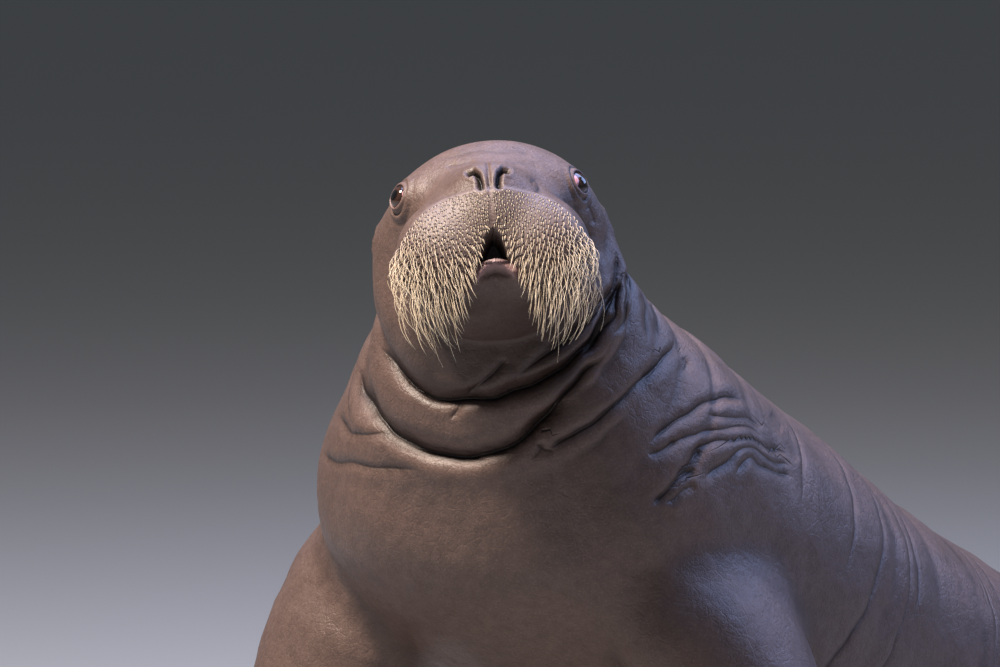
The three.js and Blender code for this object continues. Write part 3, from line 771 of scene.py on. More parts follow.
def face_view(points):
    """Left, forward and lift in millimetres: the head as seen from in front, with forward kept as depth."""
    head = in_head(points)
    lift = head[:, 1] * math.sin(HEAD_PITCH - VIEW_DROP) + head[:, 2] * math.cos(HEAD_PITCH - VIEW_DROP)
    return head[:, 0], head[:, 1], lift


def mouth_inside(left, lift):
    """1 within the open mouth: an arch whose half width grows as a root from its top to its bottom."""
    t = np.clip((MOUTH_TOP - lift) / (MOUTH_TOP - MOUTH_BOTTOM), 0, 1)
    half = MOUTH_HALF * t**0.6
    floor = MOUTH_BOTTOM + 6 * (1 - (left / MOUTH_HALF) ** 2)
    within = ease(-1.5, 1.5, half - np.abs(left)) * ease(-1.5, 1.5, lift - floor)
    return within * (lift < MOUTH_TOP + 1)


def pad_mask(points):
    """1 on the whisker pads, fading to 0 at their border."""
    left, forward, lift = face_view(points)
    border = np.interp(np.abs(left), *np.array(PAD_BORDER, float).T)
    upper = ease(-4, 3, border - lift)
    outer = ease(-6, 3, 112 - np.abs(left))
    chin = np.abs(left) - np.interp(-lift, [80, 128, 150], [22, 52, 60])
    inner = np.where(lift < -80, ease(-3, 3, chin), 1)
    lower = ease(-150, -138, lift)
    front = ease(8, 26, forward)
    return upper * outer * inner * lower * front


def sculpt_face(points, normals):
    """Moves the points of the head to give nostrils, groove, pads, mouth, lip and chin; returns masks too."""
    left, forward, lift = face_view(points)
    side = np.abs(left)
    front = ease(20, 45, forward)
    shift = np.zeros(len(points))
    pads = pad_mask(points)
    shift += 3.0 * pads - 1.2 * bell(pads - 0.5, 0.35) * front
    nostril = curve_distance(side, lift, NOSTRIL_CURVE)
    pit = bell(nostril, 2.5) * front
    shift += front * (1.1 * bell(nostril - 6.0, 3.0) - 9 * pit)
    groove = bell(left, 2.2) * (0.25 * ease(MOUTH_TOP - 2, MOUTH_TOP + 4, lift) + 0.75 * ease(-2, 6, lift))
    shift -= 2.6 * groove * ease(38, 30, lift) * front
    chin_edge = curve_distance(side, lift, [(17, -80), (34, -104), (54, -128), (60, -150)])
    shift -= 7 * bell(chin_edge, 4.5) * front * (lift < -72)
    lip = curve_distance(side, lift, [(0, -81), (12, -84), (20, -92)])
    below = curve_distance(side, lift, [(0, -92), (16, -96)])
    shift += 4 * bell(lip, 4.5) * front - 2.5 * bell(below, 3) * front
    mouth = mouth_inside(left, lift) * front
    moved = points + normals * (shift * MM)[:, None]
    moved = moved - FORWARD * (34 * MM * mouth)[:, None] - UP * (6 * MM * mouth)[:, None]
    chin_sides = 0.5 * bell(chin_edge, 7) * (lift < -80) * (lift > -120)
    masks = {
        "pad": pads,
        "flesh": np.clip((bell(lip, 6) + chin_sides) * front, 0, 1),
        # Painted shade: the open mouth and the nostril pits are painted near black.
        "pit": np.clip(mouth + 1.7 * pit, 0, 1),
    }
    return moved, masks


def sculpt_eye(points, side):
    """Round one eye: a lid rim, creases outside it, a pouch below, and a socket behind the eyeball."""
    _, look, across, upright = side_axes(side, EYE_LOOK)
    away = (points - EYE_BALLS[side]) / MM
    a, b, depth = away @ across, away @ upright, away @ look
    ring = np.hypot(a, b * 0.94)
    near = (depth > -22) * (ring < 60)
    turn = np.arctan2(b, a)
    shift = 2.6 * bell(ring - 14.5, 2.6) - 1.6 * bell(ring - 18.6, 1.9)
    shift += 1.6 * bell(ring - 23, 3.0) * (0.6 - 0.6 * np.sin(turn))
    shift -= 1.3 * bell(ring - 28.5, 2.4) * (0.5 - 0.5 * np.sin(turn))
    shift += 1.2 * bell(ring - 22, 3.4) * (0.5 + 0.5 * np.sin(turn))
    inside = ease(EYE_APERTURE + 0.8, EYE_APERTURE - 1.6, ring) * near
    moved = points + look * (shift * near * MM)[:, None]
    drop = (away @ look + shift - RIM_HEIGHT + 20) * inside
    rim = bell(ring - 13.5, 3.5) * near * (1 - inside)
    level = (RIM_HEIGHT - (away @ look + shift)) * rim * 0.8
    moved = moved + look * ((level - drop) * MM)[:, None]
    return moved, inside, bell(ring - 12.5, 2.6) * near


def sculpt_ear(points, side):
    """A low fold round a small ear opening."""
    middle = np.mean(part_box(f"ear_{side}"), axis=0)
    sign, look, across, upright = side_axes(side, EAR_LOOK)
    away = (points - middle) / MM
    a, b, depth = away @ across * sign, away @ upright, away @ look
    near = depth > -25
    ring = np.hypot(a, b * 0.62)
    fold = 3.2 * bell(ring - 8.5, 2.8) * (0.7 - 0.3 * np.sign(a) * np.minimum(np.abs(a) / 6, 1))
    pit = bell(ring, 4.0)
    return points + look * ((fold - 7 * pit) * near * MM)[:, None], pit * near


def point_normals(mesh):
    """The mesh's own point normals as an array."""
    normals = np.empty(len(mesh.vertices) * 3)
    mesh.vertices.foreach_get("normal", normals)
    return normals.reshape(-1, 3)


def hollow_mask(mesh, points, edges):
    """How far each point lies below its neighbours' mean after fine and broad smoothings: 1 in folds, used
    there as painted shade.
    """
    normals = point_normals(mesh)
    fine = smooth_near(points, edges, np.full(len(points), 0.5), 3)
    broad = smooth_near(fine, edges, np.full(len(points), 0.5), 16)
    near, far = ((mean - points) * normals for mean in (fine, broad))
    sunk = near.sum(axis=1) / 1.2 + far.sum(axis=1) / 2.4
    return np.clip(sunk / MM - 0.15, 0, 1)


def throat_shade_mask(points):
    """Painted shade: 1 on the throat between chin and first neck roll, darkened as if in the jaw's shade,
    fading out around it.
    """
    left, forward, lift = face_view(points)
    across = ease(112, 80, np.abs(left)) * ease(-330, -290, forward)
    return across * ease(-96, -128, lift) * ease(-252, -222, lift)


def store_mask(mesh, name, values):
    """Keeps one number a point in the mesh, for the material to read."""
    layer = mesh.attributes.new(name, "FLOAT", "POINT")
    layer.data.foreach_set("value", np.asarray(values, np.float32))


def linear(code):
    """Linear RGBA from an sRGB hex code: ((c + 0.055) / 1.055)^2.4, or c / 12.92 when dark."""
    parts = [int(code[k : k + 2], 16) / 255 for k in (1, 3, 5)]
    return [((c + 0.055) / 1.055) ** 2.4 if c > 0.04045 else c / 12.92 for c in parts] + [1.0]


def add_node(tree, kind, links=None, **settings):
    """Adds a node, sets its properties or unlinked inputs by name, and links its inputs to other sockets."""
    node = tree.nodes.new(kind)
    for name, value in settings.items():
        if hasattr(node, name):
            setattr(node, name, value)
        elif name.startswith("input_"):
            node.inputs[int(name[6:])].default_value = value
        else:
            node.inputs[name.replace("_", " ")].default_value = value
    for name, socket in (links or {}).items():
        tree.links.new(socket, node.inputs[name])
    return node


def new_material(name, **settings):
    """A material with one Principled shader; returns it, its tree and the shader."""
    material = bpy.data.materials.new(name)
    material.use_nodes = True
    tree = material.node_tree
    shader = tree.nodes["Principled BSDF"]
    for key, value in settings.items():
        shader.inputs[key.replace("_", " ")].default_value = value
    return material, tree, shader


def mask_socket(tree, name):
    """The stored mask of that name as a socket."""
    return add_node(tree, "ShaderNodeAttribute", attribute_name=name).outputs["Fac"]


def blend_colours(tree, factor, below, above):
    """Mixes two colours or sockets by a factor."""
    node = add_node(tree, "ShaderNodeMix", {0: factor}, data_type="RGBA")
    for index, value in ((6, below), (7, above)):
        if isinstance(value, (list, tuple)):
            node.inputs[index].default_value = value
        else:
            tree.links.new(value, node.inputs[index])
    return node.outputs[2]


def scaled(tree, socket, factor):
    """A socket times a number."""
    node = add_node(tree, "ShaderNodeMath", {0: socket}, operation="MULTIPLY", input_1=factor)
    return node.outputs[0]


def ramp(tree, factor, stops):
    """A ramp of a factor through (place, grey value or colour code) stops."""
    node = add_node(tree, "ShaderNodeValToRGB", {"Fac": factor})
    elements = node.color_ramp.elements
    for number, (place, value) in enumerate(stops):
        element = elements[number] if number < 2 else elements.new(place)
        element.position = place
        element.color = linear(value) if isinstance(value, str) else (value, value, value, 1)
    return node.outputs["Color"]


def crisp_folds(tree, width):
    """Sum over the layers of strength * exp(-(distance / width)^2), as a socket: a line along every fold,
    used for bumps and painted shade.
    """

    def maths(operation, first, second=None, **settings):
        links = {0: first} if second is None else {0: first, 1: second}
        return add_node(tree, "ShaderNodeMath", links, operation=operation, **settings).outputs[0]

    total = None
    for layer in range(FOLD_LAYERS + RING_LAYERS):
        distance = mask_socket(tree, f"fold_line_{layer}")
        ratio = maths("DIVIDE", distance, input_1=width)
        power = maths("EXPONENT", maths("MULTIPLY", maths("MULTIPLY", ratio, ratio), input_1=-1.0))
        line = maths("MULTIPLY", power, mask_socket(tree, f"fold_strength_{layer}"))
        total = line if total is None else maths("ADD", total, line)
    return total


def wet_hide(hide_colour):
    """Wet walrus hide: thick skin under very short hair, mauve brown, with painted shade in the folds, pits
    and throat, a wet sheen and a net of fine wrinkles."""
    material, tree, shader = new_material("wet_hide", IOR=1.45)
    place = add_node(tree, "ShaderNodeTexCoord").outputs["Object"]
    hollow = mask_socket(tree, "hollow")
    pad = mask_socket(tree, "pad")
    flesh = mask_socket(tree, "flesh")
    pit = mask_socket(tree, "pit")
    # Lines along the folds, used for bumps and as painted shade in the colour
    core, soft = crisp_folds(tree, 1.7), crisp_folds(tree, 5.0)
    blotch = add_node(tree, "ShaderNodeTexNoise", {"Vector": place}, Scale=7.0, Detail=6.0, Roughness=0.6)
    mottle = add_node(tree, "ShaderNodeTexNoise", {"Vector": place}, Scale=70.0, Detail=8.0, Roughness=0.7)
    fleck = add_node(tree, "ShaderNodeTexNoise", {"Vector": place}, Scale=420.0, Detail=4.0, Roughness=0.7)
    spots = ramp(tree, mottle.outputs["Fac"], [(0.35, 0), (0.7, 0.55)])
    flecks = ramp(tree, fleck.outputs["Fac"], [(0.5, 0), (0.75, 0.4)])
    base = blend_colours(tree, blotch.outputs["Fac"], list(hide_colour) + [1], linear("#6b5650"))
    for factor, colour in (
        (spots, "#3d2e2a"),
        (flecks, "#8b7870"),
        (scaled(tree, pad, 0.75), "#71625f"),
        (flesh, "#8f7274"),
        # Painted shade: the hollows of the folds and the throat under the chin are darkened.
        (scaled(tree, hollow, 0.55), "#1f1614"),
        # Painted shade: soft and crisp dark lines along every fold and wrinkle.
        (scaled(tree, soft, 0.4), "#1f1614"),
        (scaled(tree, core, 0.6), "#120c0b"),
        # Painted shade: mouth, nostrils, ear openings and the hide behind the eyeballs are near black.
        (pit, "#0a0606"),
    ):
        base = blend_colours(tree, factor, base, linear(colour))
    tree.links.new(base, shader.inputs["Base Color"])
    # Wrinkle plates some 14 mm across, finer creases 5 mm across, and hair grain drawn at 1.2 mm to show
    net = {"feature": "DISTANCE_TO_EDGE"}
    plates = add_node(tree, "ShaderNodeTexVoronoi", {"Vector": place}, **net, Scale=70.0)
    creases = add_node(tree, "ShaderNodeTexVoronoi", {"Vector": place}, **net, Scale=210.0)
    grain = add_node(tree, "ShaderNodeTexNoise", {"Vector": place}, Scale=800.0, Detail=4.0, Roughness=0.6)
    swell = add_node(tree, "ShaderNodeTexNoise", {"Vector": place}, Scale=45.0, Detail=6.0, Roughness=0.6)
    plate_bump = ramp(tree, plates.outputs["Distance"], [(0.0, 0.0), (0.09, 1.0)])
    crease_bump = ramp(tree, creases.outputs["Distance"], [(0.0, 0.0), (0.12, 1.0)])
    bump = add_node(tree, "ShaderNodeBump", {"Height": swell.outputs["Fac"]}, Strength=0.5, Distance=0.004)
    for height, strength, depth in (
        (plate_bump, 0.2, 0.0010),
        (crease_bump, 0.2, 0.0006),
        (grain.outputs["Fac"], 0.5, 0.0007),
        (scaled(tree, core, -1.0), 0.9, 0.0024),
        (scaled(tree, soft, -1.0), 0.6, 0.0040),
    ):
        links = {"Height": height, "Normal": bump.outputs["Normal"]}
        bump = add_node(tree, "ShaderNodeBump", links, Strength=strength, Distance=depth)
    tree.links.new(bump.outputs["Normal"], shader.inputs["Normal"])
    wetness = add_node(tree, "ShaderNodeTexNoise", {"Vector": place}, Scale=14.0, Detail=5.0)
    limits = {"From_Min": 0.3, "From_Max": 0.7, "To_Min": 0.36, "To_Max": 0.52}
    rough = add_node(tree, "ShaderNodeMapRange", {"Value": wetness.outputs["Fac"]}, **limits)
    tree.links.new(rough.outputs["Result"], shader.inputs["Roughness"])
    return material


def wet_eye():
    """A wet eyeball: near-black pupil, dark brown iris and a dull pink-brown rim, under a clear film."""
    material, tree, shader = new_material("wet_eye", IOR=1.38, Roughness=0.06, Coat_Weight=1.0)
    pupil = [(0.0, "#080505"), (0.22, "#0a0606")]
    iris = [(0.3, "#3a2720"), (0.5, "#2b1c18")]
    rim = [(0.62, "#4a3836"), (1.0, "#6e5350")]
    colours = ramp(tree, mask_socket(tree, "gaze"), pupil + iris + rim)
    tree.links.new(colours, shader.inputs["Base Color"])
    return material


def whisker_horn(colour):
    """Whisker bristle: smooth keratin, straw-coloured, paler at the tip."""
    material, tree, shader = new_material("whisker_horn", IOR=1.54, Roughness=0.36)
    along = mask_socket(tree, "along")
    root = blend_colours(tree, ramp(tree, along, [(0.1, 0), (0.4, 1)]), linear("#4a3828"), list(colour) + [1])
    shade = blend_colours(tree, ramp(tree, along, [(0.6, 0), (1.0, 0.7)]), root, linear("#efe6cf"))
    tree.links.new(shade, shader.inputs["Base Color"])
    return material


def follicle_skin():
    """Dark swollen skin round each bristle's root."""
    material, tree, shader = new_material("follicle_skin", IOR=1.42, Roughness=0.45)
    along = mask_socket(tree, "along")
    shade = blend_colours(tree, along, linear("#6f6060"), linear("#241b1c"))
    tree.links.new(shade, shader.inputs["Base Color"])
    return material


def nail_horn():
    """Nail horn: dull dark keratin with faint growth streaks."""
    material, tree, shader = new_material("nail_horn", IOR=1.54, Roughness=0.5)
    place = add_node(tree, "ShaderNodeTexCoord").outputs["Object"]
    streak = add_node(tree, "ShaderNodeTexNoise", {"Vector": place}, Scale=500.0, Detail=3.0)
    shade = blend_colours(tree, streak.outputs["Fac"], linear("#2a211e"), linear("#5a4b44"))
    tree.links.new(shade, shader.inputs["Base Color"])
    return material


def wet_flesh():
    """Bare wet membrane in the corner of the eye: pink and glossy."""
    material, tree, shader = new_material("wet_flesh", IOR=1.4, Roughness=0.18, Subsurface_Weight=0.2)
    place = add_node(tree, "ShaderNodeTexCoord").outputs["Object"]
    vein = add_node(tree, "ShaderNodeTexNoise", {"Vector": place}, Scale=400.0, Detail=3.0)
    shade = blend_colours(tree, vein.outputs["Fac"], linear("#b5707c"), linear("#dba3b2"))
    tree.links.new(shade, shader.inputs["Base Color"])
    return material


class WALRUS_OT_hide(bpy.types.Operator):
    """Build the hide: head, neck, trunk, limbs and flippers in one skin"""

    bl_idname = "walrus.hide"
    bl_label = "Hide"

    def execute(self, context):
        sizes = context.scene.walrus_sizes
        rows, station, angle = trunk_rows()
        grid = rows.reshape(-1, 3)[: len(station)]
        pieces = [closed_tube("walrus_hide", rows)]
        for name, limb in LIMBS.items():
            kind = name.split("_")[0]
            pieces.append(closed_tube(name, limb_rows(limb)))
            pieces.append(closed_tube(f"{name}_flipper", flipper_rows(limb, kind), fans=False))
        mesh = join_skins(pieces)
        points, edges = arrays_of(mesh)
        distance = seam_distance(mesh, points)
        points = smooth_near(points, edges, 0.6 * ease(SEAM_REACH, 0.004, distance), SEAM_ROUNDS)
        edit_arrays(mesh, points)
        for middle in EYE_BALLS.values():
            for radius in (0.036, 0.026):
                refine(mesh, middle, radius)
        for place, radius in ((NOSE_AT, 0.034), (NOSE_AT, 0.028), (LIPS_AT, 0.036)):
            refine(mesh, from_head(*place), radius)
        points, edges = arrays_of(mesh)
        normals = point_normals(mesh)
        fold_shift, fold_distances, fold_strengths = fold_fields(points, normals)
        ring_shift, ring_distances, ring_strengths = ring_fields(points, grid, station, angle)
        points = points + normals * (fold_shift + ring_shift)[:, None]
        points, masks = sculpt_face(points, normals)
        for layer, values in enumerate([*fold_distances, *ring_distances]):
            masks[f"fold_line_{layer}"] = values
        for layer, values in enumerate([*fold_strengths, *ring_strengths]):
            masks[f"fold_strength_{layer}"] = values
        for side in EYE_BALLS:
            points, inside, wet = sculpt_eye(points, side)
            # The hide behind the eyeball and the ear opening join the painted shade of the pits.
            masks["pit"] = np.maximum(masks["pit"], inside)
            masks["flesh"] = np.maximum(masks["flesh"], 0.35 * wet)
            points, pit = sculpt_ear(points, side)
            masks["pit"] = np.maximum(masks["pit"], pit)
        bulk = ease(0.02, 0.2, np.linalg.norm(points - from_head(0, 60, -60), axis=1) - 0.05)
        lumps = 0.0016 * ripple(points, 0.13, 7) + 0.0005 * ripple(points, 0.05, 8)
        points = points - point_normals(mesh) * (bulk * (lumps + 0.0012))[:, None]
        points[:, 2] = np.maximum(points[:, 2], 0)
        edit_arrays(mesh, points)
        # Painted shade: the hide's colour is darkened in the folds and on the throat.
        masks["hollow"] = np.maximum(hollow_mask(mesh, points, edges), throat_shade_mask(points))
        for name, values in masks.items():
            store_mask(mesh, name, values)
        mesh.materials.clear()
        mesh.materials.append(wet_hide(sizes.hide_colour))
        mesh.polygons.foreach_set("material_index", [0] * len(mesh.polygons))
        mesh.polygons.foreach_set("use_smooth", [True] * len(mesh.polygons))
        hide = bpy.data.objects.new("walrus_hide", mesh)
        context.scene.collection.objects.link(hide)
        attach(hide, BODY)
        flesh = [name for name in frame["nodes"] if "nail" not in name and not name.startswith("eye")]
        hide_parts(*flesh)
        return {"FINISHED"}


class WALRUS_OT_eyes(bpy.types.Operator):
    """Build the two eyeballs and the pink corner of each eye"""

    bl_idname = "walrus.eyes"
    bl_label = "Eyes"

    def execute(self, context):
        radius = context.scene.walrus_sizes.eye_radius
        gloss, membrane = wet_eye(), wet_flesh()
        for side, middle in EYE_BALLS.items():
            sign, look, across, upright = side_axes(side, EYE_LOOK)
            polar = np.linspace(0, math.pi, 49)[1:-1, None]
            turn = np.linspace(0, 2 * math.pi, 64, endpoint=False)[None, :]
            bulge = 1 + 0.035 * bell(polar, 0.6)
            rows = middle + radius * 0.985 * (
                (bulge * np.sin(polar) * np.cos(turn))[..., None] * across
                + (bulge * np.sin(polar) * np.sin(turn))[..., None] * upright
                + (bulge * np.cos(polar) * np.ones_like(turn))[..., None] * look
            )
            ball = closed_tube(f"eyeball_{side}", rows, gloss)
            points, _ = arrays_of(ball.data)
            gaze = np.arccos(np.clip(unit(points - middle) @ look, -1, 1)) / (math.pi / 2)
            store_mask(ball.data, "gaze", np.clip(gaze, 0, 1))
            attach(ball, BODY)
            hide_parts(f"eye_{side}")
            inner = unit(look * 0.62 - across * sign * 0.78 - upright * 0.1)
            beside = unit(np.cross(upright, inner))
            size = np.array([6.0, 8.0, 3.8] if side == "left" else [3.0, 5.0, 2.2]) * MM
            rows = middle + inner * radius * 0.93 + (
                (np.sin(polar) * np.cos(turn))[..., None] * beside * size[0]
                + (np.sin(polar) * np.sin(turn))[..., None] * upright * size[1]
                + (np.cos(polar) * np.ones_like(turn))[..., None] * inner * size[2]
            )
            corner = closed_tube(f"eye_corner_{side}", rows, membrane)
            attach(corner, BODY)
        return {"FINISHED"}


def whisker_roots(count, sign, draw):
    """Places on one pad: rows that follow its upper border, closer set at the top, each one jittered."""
    rows = 20
    spots = []
    for row in range(rows):
        depth = (row + 0.6) / rows
        in_row = int(round(count / rows))
        across = (np.arange(in_row) + 0.5 + 0.5 * (row % 2)) / (in_row + 0.5)
        left = 1.5 + 108.5 * across**0.92 + draw.normal(0, 0.8, in_row)
        top = np.interp(left, *np.array(PAD_BORDER, float).T)
        bottom = np.interp(left, [0, 16, 24, 50, 75, 100, 112], [-40, -74, -86, -132, -142, -128, -100])
        lift = top - 3 + (bottom - top + 8) * depth**1.1 + draw.normal(0, 0.7, in_row)
        spots.append(np.stack([left * sign, lift], -1))
    return np.concatenate(spots)


def cast_from_front(left, lift):
    """Points of the skin seen from in front at left, lift: rays along the view, found by halving."""
    sight = -math.cos(HEAD_PITCH - VIEW_DROP) * FORWARD + math.sin(HEAD_PITCH - VIEW_DROP) * UP
    start = EYE_MIDDLE + (left * MM)[:, None] * LEFT + (lift * MM)[:, None] * unit(
        math.sin(HEAD_PITCH - VIEW_DROP) * FORWARD + math.cos(HEAD_PITCH - VIEW_DROP) * UP
    )
    far = np.full(len(left), -0.16)
    near = np.full(len(left), 0.02)
    for _ in range(24):
        middle = (far + near) / 2
        within = lobe_sum(start + sight * middle[:, None]) > 1
        near = np.where(within, middle, near)
        far = np.where(within, far, middle)
    return start + sight * near[:, None]


class WALRUS_OT_whiskers(bpy.types.Operator):
    """Build the whiskers and the dark follicles that they grow from"""

    bl_idname = "walrus.whiskers"
    bl_label = "Whiskers"

    def execute(self, context):
        sizes = context.scene.walrus_sizes
        bristle, collar = whisker_horn(sizes.whisker_colour), follicle_skin()
        for side, sign in (("left", 1), ("right", -1)):
            draw = np.random.default_rng(WHISKER_SEED + sign)
            spots = whisker_roots(sizes.whisker_count, sign, draw)
            spots = spots[mouth_inside(spots[:, 0], spots[:, 1] - 3) < 0.1]
            roots = cast_from_front(spots[:, 0], spots[:, 1])
            normals = face_normal(roots)
            keep = (normals @ FORWARD > -0.15) & (pad_mask(roots) > 0.4)
            spots, roots, normals = spots[keep], roots[keep], normals[keep]
            lines = whisker_lines(spots, roots, normals, sign, sizes.whisker_length, draw)
            whiskers = many_tubes(f"whiskers_{side}", lines, sizes.whisker_width, bristle, 4, draw)
            follicles = many_collars(f"follicles_{side}", roots, normals, collar, draw)
            for piece in (whiskers, follicles):
                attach(piece, BODY)
        return {"FINISHED"}


def whisker_lines(spots, roots, normals, sign, longest, draw):
    """Each whisker's line: out along the skin's normal, then down and inwards, kept clear of the skin."""
    left, lift = np.abs(spots[:, 0]), spots[:, 1]
    low = ease(-20, -130, lift)
    out = ease(30, 112, left)
    length = 0.005 + (longest - 0.005) * np.clip(0.15 * out + 0.72 * low + 0.35 * out * low, 0, 1) ** 1.35
    length = length * draw.uniform(0.8, 1.15, len(length))
    down = -UP
    outward = LEFT * sign
    start = unit(normals * 0.85 + down * (0.3 + 0.25 * low)[:, None] + outward * (0.05 + 0.45 * out)[:, None])
    finish = unit(down * 1.0 - outward * (0.3 + 0.6 * out)[:, None] - FORWARD * 0.15)
    finish = unit(finish + draw.normal(0, 0.12, finish.shape))
    steps = 7
    line = [roots - normals * 0.002]
    for step in range(steps):
        turn = (step + 0.5) / steps
        way = unit(start * (1 - turn) + finish * turn)
        point = line[-1] + way * (length / steps)[:, None]
        inside = np.clip(np.log(lobe_sum(point)) * BLEND + 0.003, 0, 0.02)
        if step > 0:
            point = point + face_normal(point) * inside[:, None]
        line.append(point)
    return np.stack(line, 1)


def many_tubes(name, lines, width, material, around, draw):
    """Tapered closed tubes in one mesh: each ring is the line's point + radius (cos(a) side + sin(a) up)."""
    count, steps = lines.shape[:2]
    along = unit(np.gradient(lines, axis=1))
    side = unit(np.cross(along, np.array([0.1, 0.2, 1.0])))
    upright = np.cross(along, side)
    t = np.linspace(0, 1, steps)
    radius = (width / 2) * (1 - 0.8 * t**1.6) * draw.uniform(0.75, 1.1, (count, 1))
    angle = np.linspace(0, 2 * math.pi, around, endpoint=False)
    rings = lines[:, :, None] + radius[:, :, None, None] * (
        side[:, :, None] * np.cos(angle)[:, None] + upright[:, :, None] * np.sin(angle)[:, None]
    )
    per = steps * around
    quads = grid_faces(steps, around)
    faces = (quads[None] + (np.arange(count) * per)[:, None, None]).reshape(-1, 4).tolist()
    caps = np.arange(around)
    for first in (0, per - around):
        ring = caps[::-1] if first == 0 else caps
        faces += (ring[None] + first + (np.arange(count) * per)[:, None]).tolist()
    piece = mesh_piece(name, rings.reshape(-1, 3), faces, material)
    face_outwards(piece)
    store_mask(piece.data, "along", np.tile(np.repeat(t, around), count))
    turn, height = np.tile(angle, count * steps), np.tile(np.repeat(t, around), count)
    root_patches(piece.data, lines[:, 0], per, turn, height)
    return piece


def root_patches(mesh, roots, per, angle, along):
    """The bake map: each whisker is a patch 0.003 across at its root's turn and tilt about the skull."""
    ray = unit(roots - SKULL_MIDDLE)
    tilt = np.arccos(np.clip(-(ray @ SKULL_ALONG), -1, 1)) / math.pi
    turn = np.arctan2(ray @ SKULL_BACK, ray @ SKULL_SIDE)
    middle = 0.5 + np.stack([np.cos(turn), np.sin(turn)], -1) * tilt[:, None] * 0.95
    spots = np.repeat(middle, per, axis=0)
    spots[:, 0] += 0.0015 * np.cos(angle)
    spots[:, 1] += 0.0015 * np.sin(angle) * (1 - along)
    corner = np.empty(len(mesh.loops), int)
    mesh.loops.foreach_get("vertex_index", corner)
    layer = mesh.uv_layers.new(name="OFBake")
    layer.data.foreach_set("uv", spots[corner].astype(np.float32).ravel())


def many_collars(name, roots, normals, material, draw):
    """Low domes round the roots: rings of 1.9, 1.2 and 0.4 mm, each farther out than the one before."""
    around = 7
    side = unit(np.cross(normals, np.array([0.1, 0.2, 1.0])))
    upright = np.cross(normals, side)
    angle = np.linspace(0, 2 * math.pi, around, endpoint=False)
    size = draw.uniform(0.8, 1.15, (len(roots), 1, 1)) * MM
    rings = [
        roots[:, None]
        + size * (side[:, None] * np.cos(angle)[:, None] + upright[:, None] * np.sin(angle)[:, None]) * radius
        + normals[:, None] * (height * MM)
        for radius, height in ((1.9, 2.2), (1.2, 3.2), (0.4, 3.5))
    ]
    rows = np.stack(rings, 1)
    count = len(roots)
    per = 3 * around
    faces = (grid_faces(3, around)[None] + (np.arange(count) * per)[:, None, None]).reshape(-1, 4).tolist()
    caps = np.arange(around)
    faces += (caps[None] + per - around + (np.arange(count) * per)[:, None]).tolist()
    faces += (caps[None, ::-1] + (np.arange(count) * per)[:, None]).tolist()
    piece = mesh_piece(name, rows.reshape(-1, 3), faces, material)
    face_outwards(piece)
    store_mask(piece.data, "along", np.tile(np.repeat([0, 0.6, 1.0], around), count))
    root_patches(piece.data, roots, per, np.tile(angle, count * 3), np.zeros(count * per))
    return piece


NAIL_ROOT, NAIL_TIP = 0.80, 0.90  # shares of the flipper's length
NAIL_WIDTH, NAIL_ARCH = 4.6 * MM, 2.6 * MM


class WALRUS_OT_nails(bpy.types.Operator):
    """Build the short nails of all four flippers"""

    bl_idname = "walrus.nails"
    bl_label = "Nails"

    def execute(self, context):
        horn = nail_horn()
        for name, limb in LIMBS.items():
            kind, side = name.split("_")
            node = "fore" if kind == "arm" else "hind"
            _, _, across, upright = flipper_frame(limb)
            for digit in range(DIGITS):
                place = (2 * digit + 1) / DIGITS - 1
                root = flipper_point(limb, kind, NAIL_ROOT, place, 0.9)
                tip = flipper_point(limb, kind, NAIL_TIP, place, 1.0) + upright * 0.001
                t = np.linspace(0, 1, 12)[:, None]
                line = root + (tip - root) * t + upright * NAIL_ARCH * np.sin(t * math.pi)
                turn = np.linspace(0, 2 * math.pi, 14, endpoint=False)
                wide = NAIL_WIDTH * np.sqrt(np.clip(1 - t**3, 0.02, 1)) * np.minimum(1, 0.5 + 2 * t)
                rows = line[:, None] + wide[:, None] * (
                    across * np.cos(turn)[:, None] + upright * 0.55 * np.sin(turn)[:, None]
                )
                nail = closed_tube(f"nail_{node}_{side}_{digit + 1}", rows, horn)
                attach(nail, BODY)
                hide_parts(f"{node}_nail_{side}_{digit + 1}")
        return {"FINISHED"}


MM_PER_PIXEL = 1.14  # at the eye line, in the photograph's frame of 1000 by 667
EYE_LINE_PIXEL = (487.5, 193.5)
IMAGE_MIDDLE = (500, 333.5)
SENSOR = 36.0
FLOOR_CORNERS = [(-40, -40, 0), (40, -40, 0), (40, 40, 0), (-40, 40, 0)]


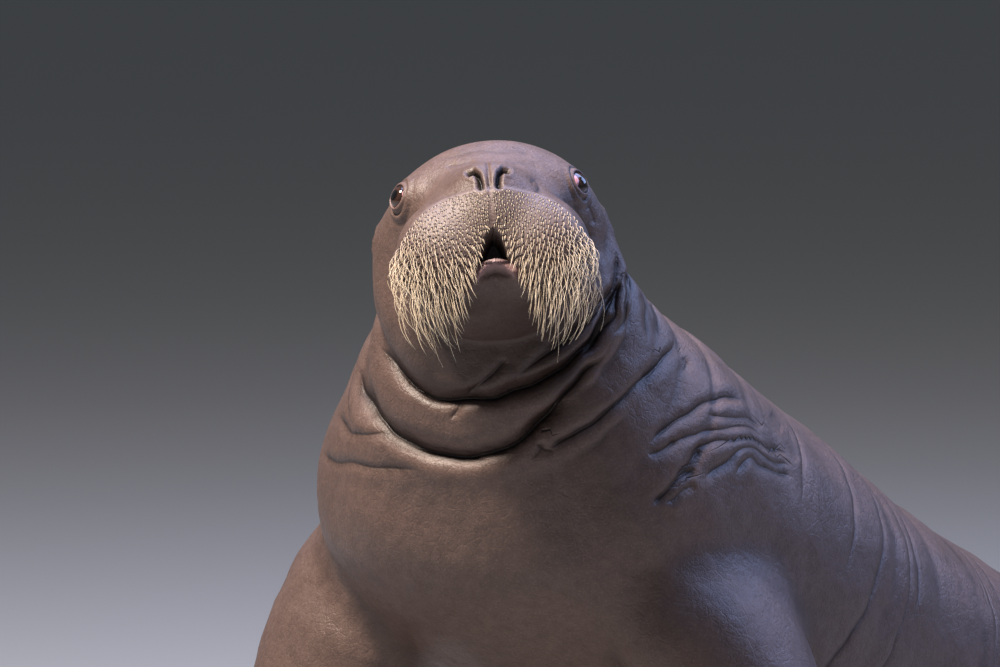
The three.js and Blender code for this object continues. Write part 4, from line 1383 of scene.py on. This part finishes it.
class WALRUS_OT_stage(bpy.types.Operator):
    """Set the pale floor, the studio lights and the camera"""

    bl_idname = "walrus.stage"
    bl_label = "Stage"

    def execute(self, context):
        scene = context.scene
        floor = mesh_piece("floor", FLOOR_CORNERS, [[0, 1, 2, 3]], None)
        material, _, shader = new_material("pale_floor", Roughness=0.7)
        shader.inputs["Base Color"].default_value = linear("#8f908e")
        floor.data.materials.append(material)
        world = bpy.data.worlds.new("studio")
        world.use_nodes = True
        world.node_tree.nodes["Background"].inputs["Color"].default_value = linear("#cfd6e2")
        world.node_tree.nodes["Background"].inputs["Strength"].default_value = 0.2
        scene.world = world
        for name, place, size, power, colour in (
            ("key", (-2.1, -1.5, 4.7), 0.8, 600, "#ffeedd"),
            ("sky", (0.4, 0.9, 4.6), 3.5, 230, "#a9c0ff"),
            ("side", (3.2, 1.0, 2.8), 2.5, 110, "#a9c0ff"),
        ):
            light = bpy.data.lights.new(name, "AREA")
            light.energy = power
            light.size = size
            light.color = linear(colour)[:3]
            lamp = bpy.data.objects.new(name, light)
            lamp.location = place
            aim = np.array([0.0, -0.3, 0.6]) - np.array(place)
            lamp.rotation_euler = (math.acos(-aim[2] / np.linalg.norm(aim)), 0, math.atan2(-aim[0], aim[1]))
            scene.collection.objects.link(lamp)
        lens = SENSOR * CAMERA_DISTANCE / MM_PER_PIXEL
        data = bpy.data.cameras.new("camera")
        data.sensor_width = SENSOR
        data.lens = lens
        data.clip_end = 200
        camera = bpy.data.objects.new("camera", data)
        aside = (EYE_LINE_PIXEL[0] - IMAGE_MIDDLE[0]) * MM_PER_PIXEL * MM
        above = (IMAGE_MIDDLE[1] - EYE_LINE_PIXEL[1]) * MM_PER_PIXEL * MM
        camera.location = EYE_MIDDLE - SIGHT * CAMERA_DISTANCE - np.array([aside, 0, 0]) - RISE * above
        camera.rotation_euler = (math.pi / 2 - VIEW_DROP, 0, 0)
        scene.collection.objects.link(camera)
        scene.camera = camera
        scene.view_settings.view_transform = "Standard"
        return {"FINISHED"}


class WALRUS_PT_panel(bpy.types.Panel):
    """The walrus's sizes and building steps"""

    bl_label = "Walrus"
    bl_space_type = "VIEW_3D"
    bl_region_type = "UI"
    bl_category = "Walrus"

    def draw(self, context):
        for name in WalrusSizes.__annotations__:
            self.layout.prop(context.scene.walrus_sizes, name)
        for step in STEPS:
            self.layout.operator(step.bl_idname)


STEPS = (WALRUS_OT_hide, WALRUS_OT_eyes, WALRUS_OT_whiskers, WALRUS_OT_nails, WALRUS_OT_stage)


def register():
    for item in (WalrusSizes, *STEPS, WALRUS_PT_panel):
        bpy.utils.register_class(item)
    bpy.types.Scene.walrus_sizes = PointerProperty(type=WalrusSizes)


def unregister():
    del bpy.types.Scene.walrus_sizes
    for item in (WALRUS_PT_panel, *reversed(STEPS), WalrusSizes):
        bpy.utils.unregister_class(item)


def main():
    register()
    for step in STEPS:
        group, name = step.bl_idname.split(".")
        getattr(getattr(bpy.ops, group), name)()


if __name__ == "__main__":
    main()
